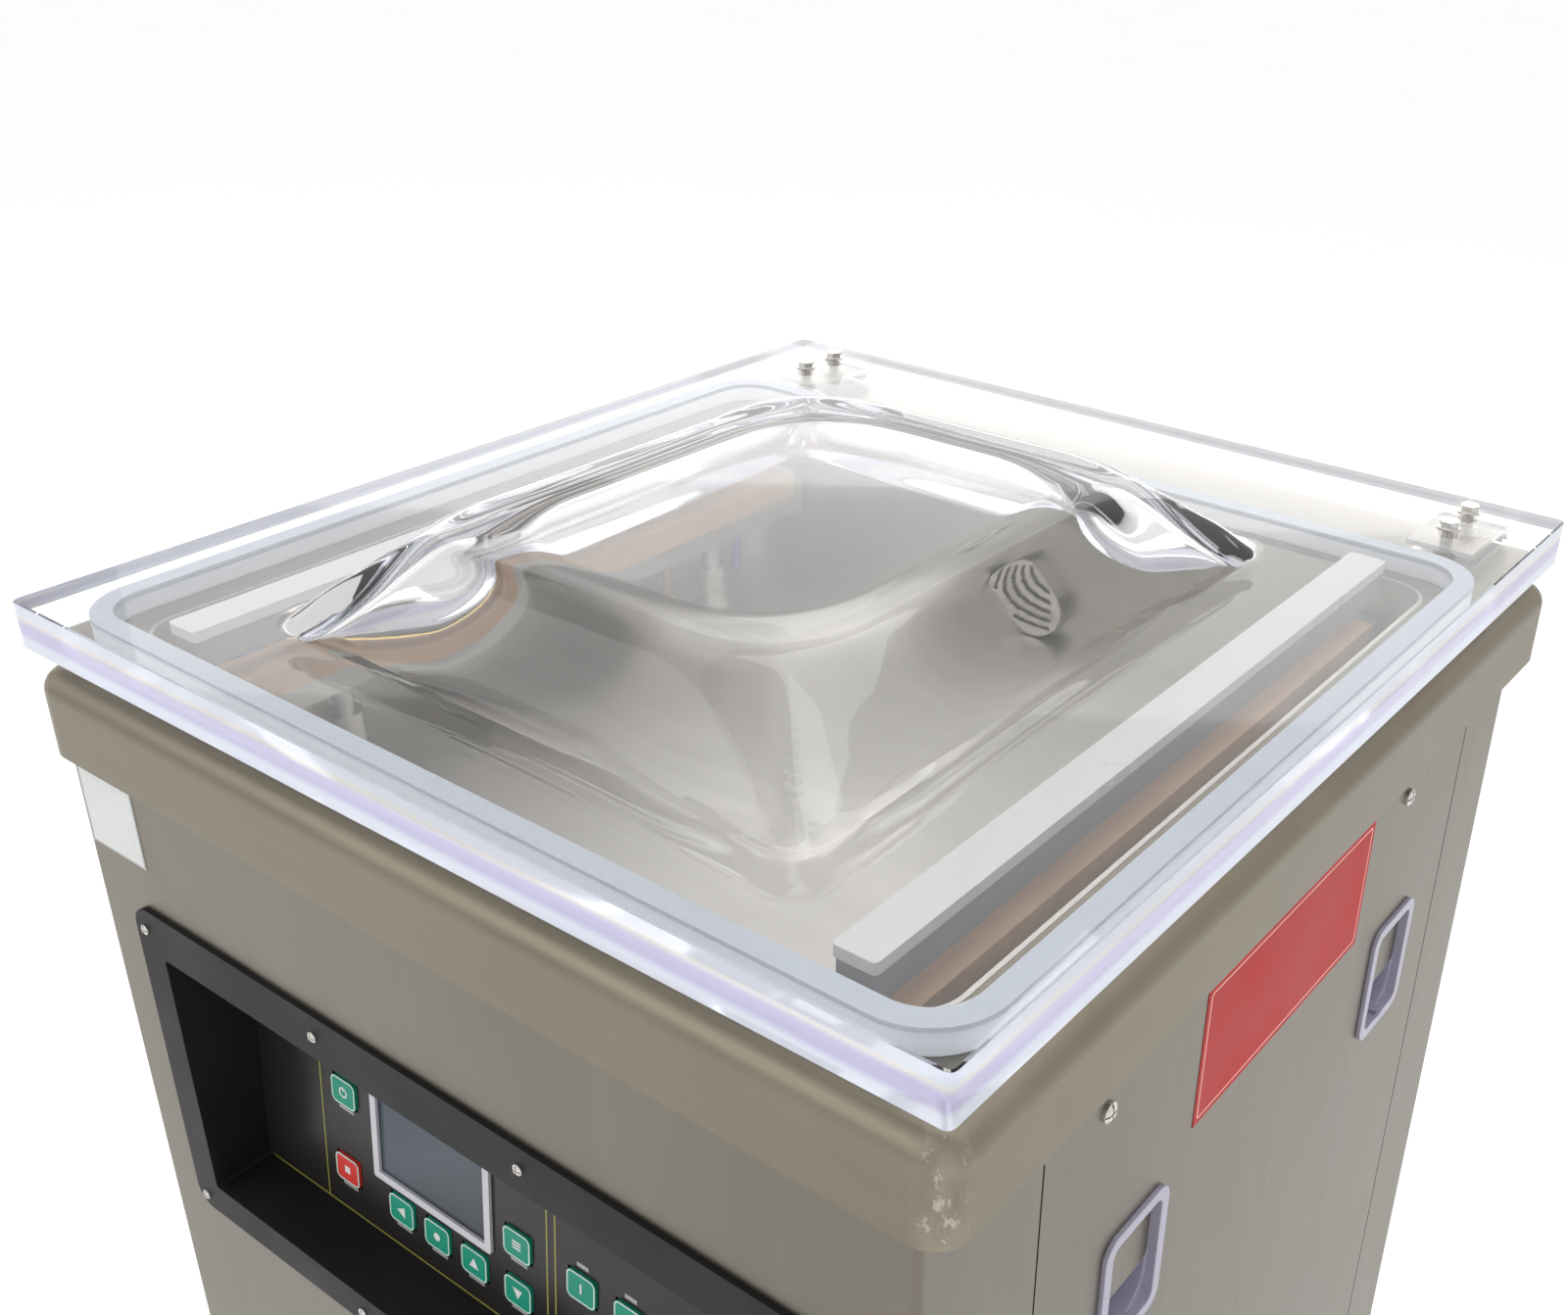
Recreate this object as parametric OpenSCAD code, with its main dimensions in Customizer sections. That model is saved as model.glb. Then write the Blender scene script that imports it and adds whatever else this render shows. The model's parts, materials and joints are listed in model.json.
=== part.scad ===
/* [Cabinet] */
// Height of the deck's top face above the floor
deck_z = 900; // [800:10:960]
// Width of the cabinet over its side panels
body_w = 464; // [460:1:468]
// Depth of the cabinet, front to back
body_d = 512; // [508:1:512]
// Thickness of the stainless sheet
sheet = 1.5; // [1.2:0.1:2]
// How far the front shell wraps round each side
front_wrap = 70; // [60:1:74]
// Width of the rear frame on each side
rear_wrap = 53; // [46:1:60]
// Height of the base tray's underside above the floor
base_z = 100; // [98:1:104]

/* [Deck and chamber] */
// Width of the deck over its skirt
deck_w = 488; // [486:1:492]
// Depth of the deck over its skirt
deck_d = 520; // [518:1:524]
// Height of the deck's skirt
skirt_h = 40; // [34:1:46]
// Radius of the deck's rounded top edge
deck_edge_r = 10; // [8:1:10]
// Width of the chamber inside
chamber_w = 422; // [420:1:424]
// Depth of the chamber inside, front to back
chamber_d = 400; // [398:1:401]
// How deep the chamber is
chamber_h = 80; // [75:1:95]

/* [Lid] */
// Width of the acrylic lid
lid_w = 487; // [484:1:488]
// Depth of the acrylic lid
lid_d = 520; // [518:1:520]
// Thickness of the acrylic sheet
lid_t = 22; // [20:1:25]
// Gap between the deck and the lid's underside
lid_gap = 10; // [10:0.5:12]
// Height of the dome above the lid's top face
dome_h = 38; // [24:1:50]
// Width of the silicone gasket's band
gasket_w = 13; // [12:0.5:14]

/* [Seal bars] */
// Length of each seal bar
bar_len = 394; // [380:1:396]
// Width of each seal bar
bar_w = 20; // [18:1:20]
// Distance of each bar's middle from the centre
bar_x = 180; // [178:1:181]

/* [Control panel] */
// Backward tilt of the control plate, degrees
panel_tilt = 5; // [4:0.5:6]
// Width of the panel's opening
opening_w = 369; // [366:1:370]
// Width of each key
key_w = 17; // [15:0.5:18]
// Height of each key
key_h = 15; // [13:0.5:16]

/* [Casters] */
// Wheel radius
wheel_r = 37.5; // [35:0.5:38]
// Wheel width
wheel_w = 24; // [20:1:25]
// Trail of the wheel behind its swivel axis
trail = 28; // [24:1:29]

/* [Hidden] */

// Cabinet levels
half_w = body_w / 2;
half_d = body_d / 2;
skirt_z = deck_z - skirt_h;
shell_top = skirt_z + 12;
shell_bottom = base_z + 3;
seam = 1;
deck_t = 2;
deck_corner_r = 14;

// Chamber, gasket and strips: all centred a little forward of the cabinet's centre
chamber_y = -26;
tub_t = 2;
tub_r = 18;
floor_z = deck_z - chamber_h;
back_wall_y = chamber_y + chamber_d / 2;
pad_size = [310, 340];
pad_y = -32;
pad_h = 1;
gasket_lx = 466;
gasket_ly = 436;
gasket_r = 30;
gasket_y = -27;
groove_h = 4;
bar_y = chamber_y;

// Lid levels
lid_z = deck_z + lid_gap;
lid_top = lid_z + lid_t;
dome_y = -35;
dome_base = [292, 346];
dome_top = [208, 262];
dome_wall = 7;
dome_base_r = 20;
dome_top_r = 50;

// Lid hinge
hinge_x = 202;
hinge_y = 252;
hinge_z = deck_z + 5;
knuckle_r = 4;
pin_r = 2.2;
leaf_w = 33;
leaf_t = 2.6;
leaf_y = 204;
bolt_ys = [213, 240];
bolt_r = 2.9;

// Seal bars and upper strips
bar_top = deck_z - 20;
bar_h = 23;
tape_t = 0.6;
strip_w = 18;
backing_h = 5;
strip_h = 13;
rod_r = 5;
rod_ys = [-126, 126];
cylinder_r = 9;
cylinder_h = 22;
nozzle_x = 200;
nozzle_z = deck_z - 25;
nozzle_half = 150;
hose_r = 3;
hose_bend = 14;

// Control recess, measured down from the deck's top face
bezel_w = 406;
bezel_top = deck_z - 105.5;
bezel_bottom = deck_z - 283.5;
bezel_t = 2.3;
bezel_r = 11;
open_top = deck_z - 129;
open_bottom = deck_z - 265;
tube_t = 2.5;
plate_y = -229;
plate_t = 3;
plate_len = (open_top - open_bottom) / cos(panel_tilt) - 1;
tube_depth = 46;
key_proud = 1.3;
key_gap = 0.3;
lcd_w = 80;
lcd_h = 54;
lcd_x = -57;
lcd_s = 63;
lcd_border = 4;
gauge_x = 132;
gauge_s = 60;
gauge_r = 27;

// Key middles across the plate and up the plate
pos_power = [-117, 72];
pos_stop = [-118, 27];
pos_left = [-78.8, 24.6];
pos_centre = [-54, 24.2];
pos_right = [-29, 23.8];
pos_set = [-0.4, 51];
pos_down = [-0.4, 24];
pos_p1 = [39, 51];
pos_p2 = [67, 51];
KEYS = [pos_power, pos_stop, pos_left, pos_centre, pos_right, pos_set, pos_down, pos_p1, pos_p2];

// Side details
handle_w = 49;
handle_h = 67;
handle_z = deck_z - 175;
handle_ys = [-111.5, 141.5];
handle_depth = 14;
label_y = 10.5;
label_w = 159;
label_h = 68;
label_z = deck_z - 96;
sticker = 41;
plate_film = 0.3;
screw_z = deck_z - 69;
side_screw_ys = [-143.6, 130];
rear_screw_x = 210;
bezel_screw_xs = [-195, -74, 50, 195];

// Casters
caster_x = 190;
caster_y = 190;
axle_r = 4;
fork_half = 15;
fork_t = 3;
fork_top = base_z - 8.4;

// Rear connections
rear_inset = 24;
rear_open = [390, 690];
rear_mid_z = 490;
rear_face = half_d - rear_inset;
inlet_z = 185;
port_x = -5;
port_z = deck_z - 62;
port_r = 17;
hose_big_r = 13;
hose_big_y = 203;
hose_big_bend = 26;

// ---------- shared shapes ----------
// Flat rectangle with rounded corners
module rrect(w, d, r) {
  square([w - 2 * r, d], center = true);
  square([w, d - 2 * r], center = true);
  for (sx = [-1, 1]) for (sy = [-1, 1])
    translate([sx * (w / 2 - r), sy * (d / 2 - r)]) circle(r = r, $fn = 48);
}

// Upright block with rounded vertical corners, from z0 up to z1
module rblock(w, d, r, z0, z1) {
  translate([0, 0, z0]) linear_extrude(z1 - z0) rrect(w, d, r);
}

// Block whose top edge is rounded as well as its vertical corners
module capped(w, d, corner, edge, z0, z1) {
  rblock(w, d, corner, z0, z1 - edge);
  rblock(w - 2 * edge, d - 2 * edge, corner - edge, z1 - edge - 1, z1);
  for (s = [-1, 1]) {
    translate([-(w / 2 - corner), s * (d / 2 - edge), z1 - edge]) rotate([0, 90, 0])
      cylinder(r = edge, h = w - 2 * corner, $fn = 64);
    translate([s * (w / 2 - edge), d / 2 - corner, z1 - edge]) rotate([90, 0, 0])
      cylinder(r = edge, h = d - 2 * corner, $fn = 64);
  }
  for (sx = [0, 1]) for (sy = [0, 1]) mirror([sx, 0, 0]) mirror([0, sy, 0])
    translate([w / 2 - corner, d / 2 - corner, z1 - edge]) rotate_extrude(angle = 90, $fn = 96)
      intersection() {
        translate([corner - edge, 0]) circle(r = edge, $fn = 64);
        translate([0, -0.5]) square([corner, edge + 0.5]);
      }
}

// Quarter bend of a round tube in the YZ plane, from level -Y to upright -Z
module bend(r, bend_r) {
  rotate([90, 0, 90]) rotate_extrude(angle = 90, $fn = 64)
    translate([bend_r, 0]) circle(r = r, $fn = 32);
}

// Box given by its lowest and highest corners
module span(lo, hi) {
  translate(lo) cube(hi - lo);
}

// Cylinder along Y starting at y0
module rod_y(x, y0, z, r, len) {
  translate([x, y0, z]) rotate([-90, 0, 0]) cylinder(r = r, h = len, $fn = 48);
}

// Cylinder along X starting at x0
module rod_x(x0, y, z, r, len) {
  translate([x0, y, z]) rotate([0, 90, 0]) cylinder(r = r, h = len, $fn = 48);
}

// Moves its children on to the control plate: x across, y into the cabinet, z up the plate
module on_plate() {
  translate([0, plate_y, open_bottom]) rotate([-panel_tilt, 0, 0]) children();
}

// ---------- cabinet ----------
// Plan outline shared by the front shell and the rear frame
module body_ring(z0, z1) {
  difference() {
    rblock(body_w, body_d, 3, z0, z1);
    translate([0, 0, -1]) rblock(body_w - 2 * sheet, body_d - 2 * sheet, 1.6, z0, z1 + 2);
  }
}

module base_tray() {
  color("#8d8a84") difference() {
    rblock(body_w - 8, body_d - 8, 3, base_z, base_z + 7);
    rblock(body_w - 14, body_d - 14, 2, base_z + 3, base_z + 31);
    for (x = [-120, -60, 0, 60, 120])
      translate([x, 0, base_z - 1]) linear_extrude(6) rrect(20, 220, 9);
  }
}

module front_shell() {
  color("#a39d92") difference() {
    union() {
      intersection() {
        body_ring(shell_bottom, shell_top);
        span([-half_w, -half_d, 0], [half_w, -half_d + front_wrap, deck_z]);
      }
      for (s = [0, 1]) mirror([s, 0, 0])
        span([half_w - 15, -half_d + front_wrap - 1.5, shell_bottom + 8],
          [half_w - sheet + 0.01, -half_d + front_wrap, shell_top - 6]);
    }
    span([-189, -half_d - 5, open_bottom - 5], [189, -half_d + 5, open_top + 5]);
    for (x = bezel_screw_xs) rod_y(x, -half_d - 5, bezel_top - 11, 1.6, 10);
    for (x = bezel_screw_xs) rod_y(x, -half_d - 5, bezel_bottom + 8, 1.6, 10);
  }
}

module rear_frame() {
  color("#a39d92") difference() {
    intersection() {
      body_ring(shell_bottom, shell_top);
      span([-half_w, half_d - rear_wrap, 0], [half_w, half_d, deck_z]);
    }
    translate([0, half_d, rear_mid_z]) cube([rear_open[0], 10, rear_open[1]], center = true);
    for (s = [-1, 1]) for (z = [rear_mid_z - 300, rear_mid_z, rear_mid_z + 300])
      rod_y(s * rear_screw_x, half_d - 5, z, 2.1, 10);
  }
}

module rear_panel() {
  flange_y = half_d - sheet;
  color("#989289") difference() {
    union() {
      translate([0, flange_y - 1.2, rear_mid_z]) cube([rear_open[0] + 56, 2.4, rear_open[1] + 40], center = true);
      span([-rear_open[0] / 2 + 2, rear_face - 1.5, rear_mid_z - rear_open[1] / 2 + 2],
        [rear_open[0] / 2 - 2, flange_y, rear_mid_z + rear_open[1] / 2 - 2]);
    }
    span([-rear_open[0] / 2 + 3.5, rear_face, rear_mid_z - rear_open[1] / 2 + 3.5],
      [rear_open[0] / 2 - 3.5, half_d + 1, rear_mid_z + rear_open[1] / 2 - 3.5]);
    for (i = [0:7]) for (x = [-90, 90])
      span([x - 50, rear_face - 5, 560 + i * 26], [x + 50, rear_face + 5, 568 + i * 26]);
    for (s = [-1, 1]) for (z = [rear_mid_z - 300, rear_mid_z, rear_mid_z + 300])
      rod_y(s * rear_screw_x, half_d - 10, z, 2.1, 12);
    rod_y(-150, rear_face - 5, inlet_z, 8.2, 10);
    rod_y(150, rear_face - 5, inlet_z, 5.2, 10);
  }
}

// Removable side panel with returned edges, for the +X side; the other is its mirror
module side_panel() {
  y0 = -half_d + front_wrap + seam;
  y1 = half_d - rear_wrap - seam;
  difference() {
    union() {
      span([half_w - sheet, y0, shell_bottom], [half_w, y1, shell_top - 1]);
      for (y = [y0, y1 - sheet])
        span([half_w - 13, y, shell_bottom + 8], [half_w - sheet + 0.01, y + sheet, shell_top - 6]);
    }
    for (y = handle_ys) span([half_w - 3, y - 21, handle_z - 30], [half_w + 1, y + 21, handle_z + 30]);
    for (y = side_screw_ys) for (z = [screw_z, shell_bottom + 30]) rod_x(half_w - 4, y, z, 2.1, 8);
  }
}

module side_panel_right() { color("#9c978d") side_panel(); }
module side_panel_left() { color("#9c978d") mirror([1, 0, 0]) side_panel(); }

module deck_pan() {
  color("#8f887b") difference() {
    capped(deck_w, deck_d, deck_corner_r, deck_edge_r, skirt_z, deck_z);
    capped(deck_w - 2 * deck_t, deck_d - 2 * deck_t, deck_corner_r - deck_t, deck_edge_r - deck_t,
      skirt_z - 5, deck_z - deck_t);
    translate([0, chamber_y, 0])
      rblock(chamber_w + 2 * tub_t + 0.4, chamber_d + 2 * tub_t + 0.4, tub_r + tub_t, deck_z - 20, deck_z + 5);
  }
}

// Pressed pan with a low raised pad between the seal bars, where the bag lies
module chamber_tub() {
  color("#b5b2ad") {
    difference() {
      translate([0, chamber_y, 0]) union() {
        rblock(chamber_w + 2 * tub_t, chamber_d + 2 * tub_t, tub_r + tub_t, floor_z - tub_t, deck_z);
        rblock(chamber_w + 24, chamber_d + 24, tub_r + 10, deck_z - deck_t - 2, deck_z - deck_t);
      }
      translate([0, chamber_y, 0]) rblock(chamber_w, chamber_d, tub_r, floor_z, deck_z + 5);
      rod_y(port_x, back_wall_y - 5, port_z, 11.2, 14);
    }
    translate([0, pad_y, 0]) rblock(pad_size[0], pad_size[1], 12, floor_z - 1, floor_z + pad_h);
  }
}

// ---------- side and front trim ----------
// Flush pull: ring plate, sloping pocket and a lip over the finger scoop, outward face at x = 0
module flush_handle() {
  difference() {
    union() {
      rotate([90, 0, 90]) linear_extrude(2) rrect(handle_w, handle_h, 9);
      translate([-handle_depth, 0, 0]) rotate([90, 0, 90]) linear_extrude(handle_depth)
        rrect(handle_w - 9, handle_h - 9, 6);
    }
    translate([-2.5, 0, 0]) rotate([90, 0, 90]) linear_extrude(6) rrect(handle_w - 11, handle_h - 11, 5);
    translate([-handle_depth + 1.5, 0, -11]) rotate([90, 0, 90]) linear_extrude(20)
      intersection() {
        circle(r = handle_w / 2 - 6.5, $fn = 48);
        translate([-30, -60]) square([60, 64]);
      }
  }
}

module flush_handles() {
  color("#b9b6c4") for (s = [0, 1]) mirror([s, 0, 0])
    for (y = handle_ys) translate([half_w + 0.05, y, handle_z]) flush_handle();
}

// Pan-head screw pointing along +X from x = 0, head outward
module pan_screw(head_r, len) {
  difference() {
    union() {
      cylinder(r = head_r, h = 1.4, $fn = 32);
      translate([0, 0, 1.4]) cylinder(r1 = head_r, r2 = head_r * 0.6, h = 1, $fn = 32);
      translate([0, 0, -len]) cylinder(r = 1.8, h = len, $fn = 24);
    }
    translate([-head_r, -0.5, 1.2]) cube([2 * head_r, 1, 3]);
    translate([-0.5, -head_r, 1.2]) cube([1, 2 * head_r, 3]);
  }
}

module panel_screws() {
  color("#cfcdc8") {
    for (s = [0, 1]) mirror([s, 0, 0]) for (y = side_screw_ys) for (z = [screw_z, shell_bottom + 30])
      translate([half_w, y, z]) rotate([0, 90, 0]) pan_screw(4.2, 8);
    for (s = [-1, 1]) for (z = [rear_mid_z - 300, rear_mid_z, rear_mid_z + 300])
      translate([s * rear_screw_x, half_d, z]) rotate([-90, 0, 0]) pan_screw(4.2, 8);
  }
}

module side_label() {
  color("#c83a34") span([half_w, label_y - label_w / 2, label_z - label_h / 2],
    [half_w + plate_film, label_y + label_w / 2, label_z + label_h / 2]);
}

module front_sticker() {
  color("#c9ccc8") span([-half_w + 4, -half_d - plate_film, skirt_z - 2 - sticker],
    [-half_w + 4 + sticker, -half_d, skirt_z - 2]);
}

// ---------- control panel ----------
module bezel() {
  mid_z = (bezel_top + bezel_bottom) / 2;
  open_mid = (open_top + open_bottom) / 2;
  open_h = open_top - open_bottom;
  color("#2b2b2d") difference() {
    union() {
      translate([0, -half_d, mid_z]) rotate([90, 0, 0]) linear_extrude(bezel_t)
        rrect(bezel_w, bezel_top - bezel_bottom, bezel_r);
      span([-opening_w / 2 - tube_t, -half_d - 1, open_bottom - tube_t],
        [opening_w / 2 + tube_t, -half_d + tube_depth, open_top + tube_t]);
    }
    translate([0, -half_d - 10, open_mid]) rotate([-90, 0, 0]) linear_extrude(80)
      rrect(opening_w, open_h, 2);
    for (x = bezel_screw_xs) for (z = [bezel_top - 11, bezel_bottom + 8])
      rod_y(x, -half_d - 5, z, 1.6, 10);
  }
}

module bezel_screws() {
  color("#b9b7b2") for (x = bezel_screw_xs) for (z = [bezel_top - 11, bezel_bottom + 8])
    translate([x, -half_d - bezel_t, z]) rotate([90, 0, 0]) scale(0.7) pan_screw(3.6, 8);
}

module control_plate() {
  color("#1d1d1f") on_plate() difference() {
    span([-opening_w / 2 + 0.3, 0, 0.5], [opening_w / 2 - 0.3, plate_t, plate_len]);
    for (k = KEYS) span([k[0] - key_w / 2 - key_gap, -1, k[1] - key_h / 2 - key_gap],
      [k[0] + key_w / 2 + key_gap, plate_t + 1, k[1] + key_h / 2 + key_gap]);
    span([lcd_x - lcd_w / 2 + lcd_border, -1, lcd_s - lcd_h / 2 + lcd_border],
      [lcd_x + lcd_w / 2 - lcd_border, plate_t + 1, lcd_s + lcd_h / 2 - lcd_border]);
    rod_y(gauge_x, -1, gauge_s, gauge_r - 2, plate_t + 2);
  }
}

module lcd_frame() {
  color("#c6c6ca") on_plate() translate([lcd_x, 0, lcd_s]) rotate([90, 0, 0]) linear_extrude(1.6)
    difference() {
      rrect(lcd_w, lcd_h, 1.5);
      rrect(lcd_w - 2 * lcd_border, lcd_h - 2 * lcd_border, 0.6);
    }
}

module lcd_glass() {
  color("#5f6c7a") on_plate() span([lcd_x - lcd_w / 2 + lcd_border + 0.1, 0.2, lcd_s - lcd_h / 2 + lcd_border + 0.1],
    [lcd_x + lcd_w / 2 - lcd_border - 0.1, 4, lcd_s + lcd_h / 2 - lcd_border - 0.1]);
}

module control_board() {
  color("#2f6b45") on_plate() union() {
    span([-150, 9.5, 12], [96, 11.1, 112]);
    span([lcd_x - 30, 4.2, lcd_s - 18], [lcd_x + 30, 9.6, lcd_s + 18]);
    for (k = KEYS) span([k[0] - 3, 6.2, k[1] - 3], [k[0] + 3, 9.6, k[1] + 3]);
    for (x = [-140, -100, 60, 84]) rod_y(x, 11, 96, 5, 12);
  }
}

// Key cap: its body stands in the plate's hole and its flange behind keeps it in
module key_cap(p) {
  on_plate() translate([p[0], 0, p[1]]) {
    translate([0, 0.9, 0]) rotate([90, 0, 0]) linear_extrude(key_proud + 0.9) rrect(key_w, key_h, 3);
    span([-key_w / 2 + 1, 0.8, -key_h / 2 + 1], [key_w / 2 - 1, plate_t + 0.2, key_h / 2 - 1]);
    span([-2.5, plate_t, -2.5], [2.5, 5.1, 2.5]);
  }
}

module key_power() { color("#2f9d78") key_cap(pos_power); }
module key_stop() { color("#c5372f") key_cap(pos_stop); }
module key_left() { color("#2f9d78") key_cap(pos_left); }
module key_centre() { color("#2f9d78") key_cap(pos_centre); }
module key_right() { color("#2f9d78") key_cap(pos_right); }
module key_set() { color("#2f9d78") key_cap(pos_set); }
module key_down() { color("#2f9d78") key_cap(pos_down); }
module key_p1() { color("#2f9d78") key_cap(pos_p1); }
module key_p2() { color("#2f9d78") key_cap(pos_p2); }

module gauge_case() {
  color("#b9bcc0") on_plate() difference() {
    union() {
      rod_y(gauge_x, -7, gauge_s, gauge_r, 7);
      rod_y(gauge_x, -0.01, gauge_s, gauge_r - 2.2, 26);
      rod_y(gauge_x, 25.9, gauge_s, 6, 12);
    }
    rod_y(gauge_x, -8, gauge_s, gauge_r - 2.5, 8);
    rod_y(gauge_x, -1, gauge_s, 1.55, 9);
  }
}

module gauge_needle() {
  color("#c5372f") on_plate() translate([gauge_x, 0, gauge_s]) union() {
    rod_y(0, -3.6, 0, 2.2, 2.4);
    rod_y(0, -3, 0, 1.5, 9);
    span([-0.6, -3, -6], [0.6, -2.2, 19]);
  }
}

// ---------- lid ----------
// Hull between a low and a high rounded rectangle
module dome_form(base, base_r, top, top_r, z0, z1) {
  translate([0, dome_y, 0]) hull() {
    translate([0, 0, z0]) linear_extrude(0.1) rrect(base[0], base[1], base_r);
    translate([0, 0, z1 - 0.1]) linear_extrude(0.1) rrect(top[0], top[1], top_r);
  }
}

module gasket_band(grow, z0, z1) {
  translate([0, gasket_y, 0]) difference() {
    rblock(gasket_lx + 2 * grow, gasket_ly + 2 * grow, gasket_r + grow, z0, z1);
    translate([0, 0, -1]) rblock(gasket_lx - 2 * gasket_w - 2 * grow, gasket_ly - 2 * gasket_w - 2 * grow,
      gasket_r - gasket_w - grow, z0, z1 + 2);
  }
}

module lid() {
  wall = 2 * dome_wall;
  color([0.86, 0.86, 0.93, 0.45]) difference() {
    union() {
      rblock(lid_w, lid_d, 3, lid_z, lid_top);
      dome_form(dome_base, dome_base_r, dome_top, dome_top_r, lid_top - 0.5, lid_top + dome_h);
    }
    dome_form([dome_base[0] - wall, dome_base[1] - wall], dome_base_r - dome_wall,
      [dome_top[0] - wall, dome_top[1] - wall], dome_top_r - dome_wall, lid_z - 0.5, lid_top + dome_h - dome_wall);
    gasket_band(0.15, lid_z - 1, lid_z + groove_h);
    for (s = [-1, 1]) for (y = bolt_ys) translate([s * hinge_x, y, lid_z - 1])
      cylinder(r = bolt_r + 0.2, h = lid_t + 2, $fn = 32);
  }
}

module gasket() {
  color("#e6edf3") gasket_band(0, deck_z + 0.4, lid_z + groove_h - 0.1);
}

module strip_backings() {
  color("#eef0ea") for (s = [-1, 1]) translate([s * bar_x, bar_y, 0])
    rblock(strip_w, bar_len, 2, lid_z - backing_h, lid_z);
}

module pressure_strips() {
  color("#a9aab0") for (s = [-1, 1]) translate([s * bar_x, bar_y, 0])
    rblock(strip_w - 1.6, bar_len - 2, 1, lid_z - backing_h - strip_h, lid_z - backing_h);
}

module lid_leaves() {
  color("#b7b4ae") for (s = [-1, 1]) translate([s * hinge_x, 0, 0]) difference() {
    union() {
      span([-leaf_w / 2, leaf_y, lid_z - leaf_t], [leaf_w / 2, hinge_y - knuckle_r - 0.5, lid_z]);
      for (k = [-1, 1]) translate([k * leaf_w / 3, 0, 0]) {
        rod_x(-leaf_w / 6 + 0.2, hinge_y, hinge_z, knuckle_r, leaf_w / 3 - 0.4);
        span([-leaf_w / 6 + 0.2, hinge_y - knuckle_r - 1, hinge_z + 2],
          [leaf_w / 6 - 0.2, hinge_y, hinge_z + knuckle_r]);
      }
    }
    rod_x(-leaf_w / 2 - 1, hinge_y, hinge_z, pin_r + 0.05, leaf_w + 2);
    for (y = bolt_ys) translate([0, y, lid_z - 10]) cylinder(r = bolt_r + 0.2, h = 20, $fn = 32);
  }
}

module lid_bolts() {
  color("#c4c1ba") for (s = [-1, 1]) for (y = bolt_ys) translate([s * hinge_x, y, 0]) {
    translate([0, 0, lid_z - leaf_t - 2.2]) cylinder(r = bolt_r, h = lid_t + leaf_t + 2.4, $fn = 32);
    translate([0, 0, lid_z - leaf_t - 2.2]) cylinder(r = 4.6, h = 2.2, $fn = 6);
    translate([0, 0, lid_top]) cylinder(r = 5.6, h = 0.8, $fn = 32);
    translate([0, 0, lid_top + 0.8]) cylinder(r = 4.8, h = 3.2, $fn = 6);
  }
}

// Fixed leaves on the deck, each with its middle knuckle and its pin
module hinge_brackets() {
  color("#a8a59e") for (s = [-1, 1]) translate([s * hinge_x, 0, 0]) {
    difference() {
      union() {
        span([-leaf_w / 2, leaf_y + 6, deck_z], [leaf_w / 2, hinge_y - knuckle_r - 2.5, deck_z + 2]);
        rod_x(-leaf_w / 6 + 0.2, hinge_y, hinge_z, knuckle_r, leaf_w / 3 - 0.4);
        span([-leaf_w / 6 + 0.2, hinge_y - knuckle_r - 3, deck_z],
          [leaf_w / 6 - 0.2, hinge_y, deck_z + 2.4]);
      }
      rod_x(-leaf_w / 2, hinge_y, hinge_z, pin_r + 0.05, leaf_w);
    }
    rod_x(-leaf_w / 2 - 1.5, hinge_y, hinge_z, pin_r, leaf_w + 3);
  }
}

// ---------- seal bars and chamber fittings ----------
module seal_bar(s) {
  translate([s * bar_x, bar_y, 0]) {
    rblock(bar_w, bar_len, 1.5, bar_top - bar_h, bar_top);
    for (y = rod_ys) translate([0, y, floor_z + 5]) cylinder(r = rod_r, h = bar_top - bar_h - floor_z - 4.9, $fn = 32);
  }
}

module seal_tape(s) {
  translate([s * bar_x, bar_y, 0]) difference() {
    rblock(bar_w + 2 * tape_t, bar_len - 16, 1, bar_top - 12, bar_top + 2 * tape_t);
    rblock(bar_w + 0.02, bar_len, 1, bar_top - 13, bar_top);
  }
}

module seal_bar_left() { color("#b9b8b4") seal_bar(-1); }
module seal_bar_right() { color("#b9b8b4") seal_bar(1); }
module seal_tape_left() { color("#a8825a") seal_tape(-1); }
module seal_tape_right() { color("#a8825a") seal_tape(1); }

module lift_cylinders() {
  color("#9b9c9e") for (s = [-1, 1]) for (y = rod_ys) translate([s * bar_x, bar_y + y, floor_z]) difference() {
    union() {
      cylinder(r = cylinder_r, h = cylinder_h, $fn = 48);
      cylinder(r = cylinder_r + 3, h = 3, $fn = 6);
    }
    translate([0, 0, 2]) cylinder(r = rod_r + 0.06, h = cylinder_h, $fn = 48);
  }
}

module gas_nozzles() {
  color("#b89a5c") for (s = [-1, 1]) translate([s * nozzle_x, bar_y, 0]) difference() {
    union() {
      rod_y(0, -nozzle_half, nozzle_z, 4, 2 * nozzle_half);
      for (y = [-110, 110]) {
        translate([0, y, floor_z]) cylinder(r = 3, h = nozzle_z - floor_z, $fn = 24);
        translate([0, y, floor_z]) cylinder(r = 5, h = 3, $fn = 24);
      }
      for (y = [-1, 1]) rod_y(0, y * (nozzle_half - 5) - 5, nozzle_z, 5.5, 10);
    }
    for (y = [-120:40:120]) rod_x(s > 0 ? -6 : 0, y, nozzle_z, 0.9, 6);
  }
}

module blue_hoses() {
  drop = nozzle_z - hose_bend - floor_z;
  color("#3f6fd0") for (sx = [-1, 1]) for (sy = [0, 1]) translate([sx * nozzle_x, bar_y, nozzle_z])
    mirror([0, sy, 0]) translate([0, -nozzle_half, 0]) {
      rod_y(0, -5, 0, hose_r, 5);
      translate([0, -5, -hose_bend]) mirror([0, 1, 0]) bend(hose_r, hose_bend);
      translate([0, -5 - hose_bend, -hose_bend - drop]) cylinder(r = hose_r, h = drop, $fn = 32);
    }
}

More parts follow.
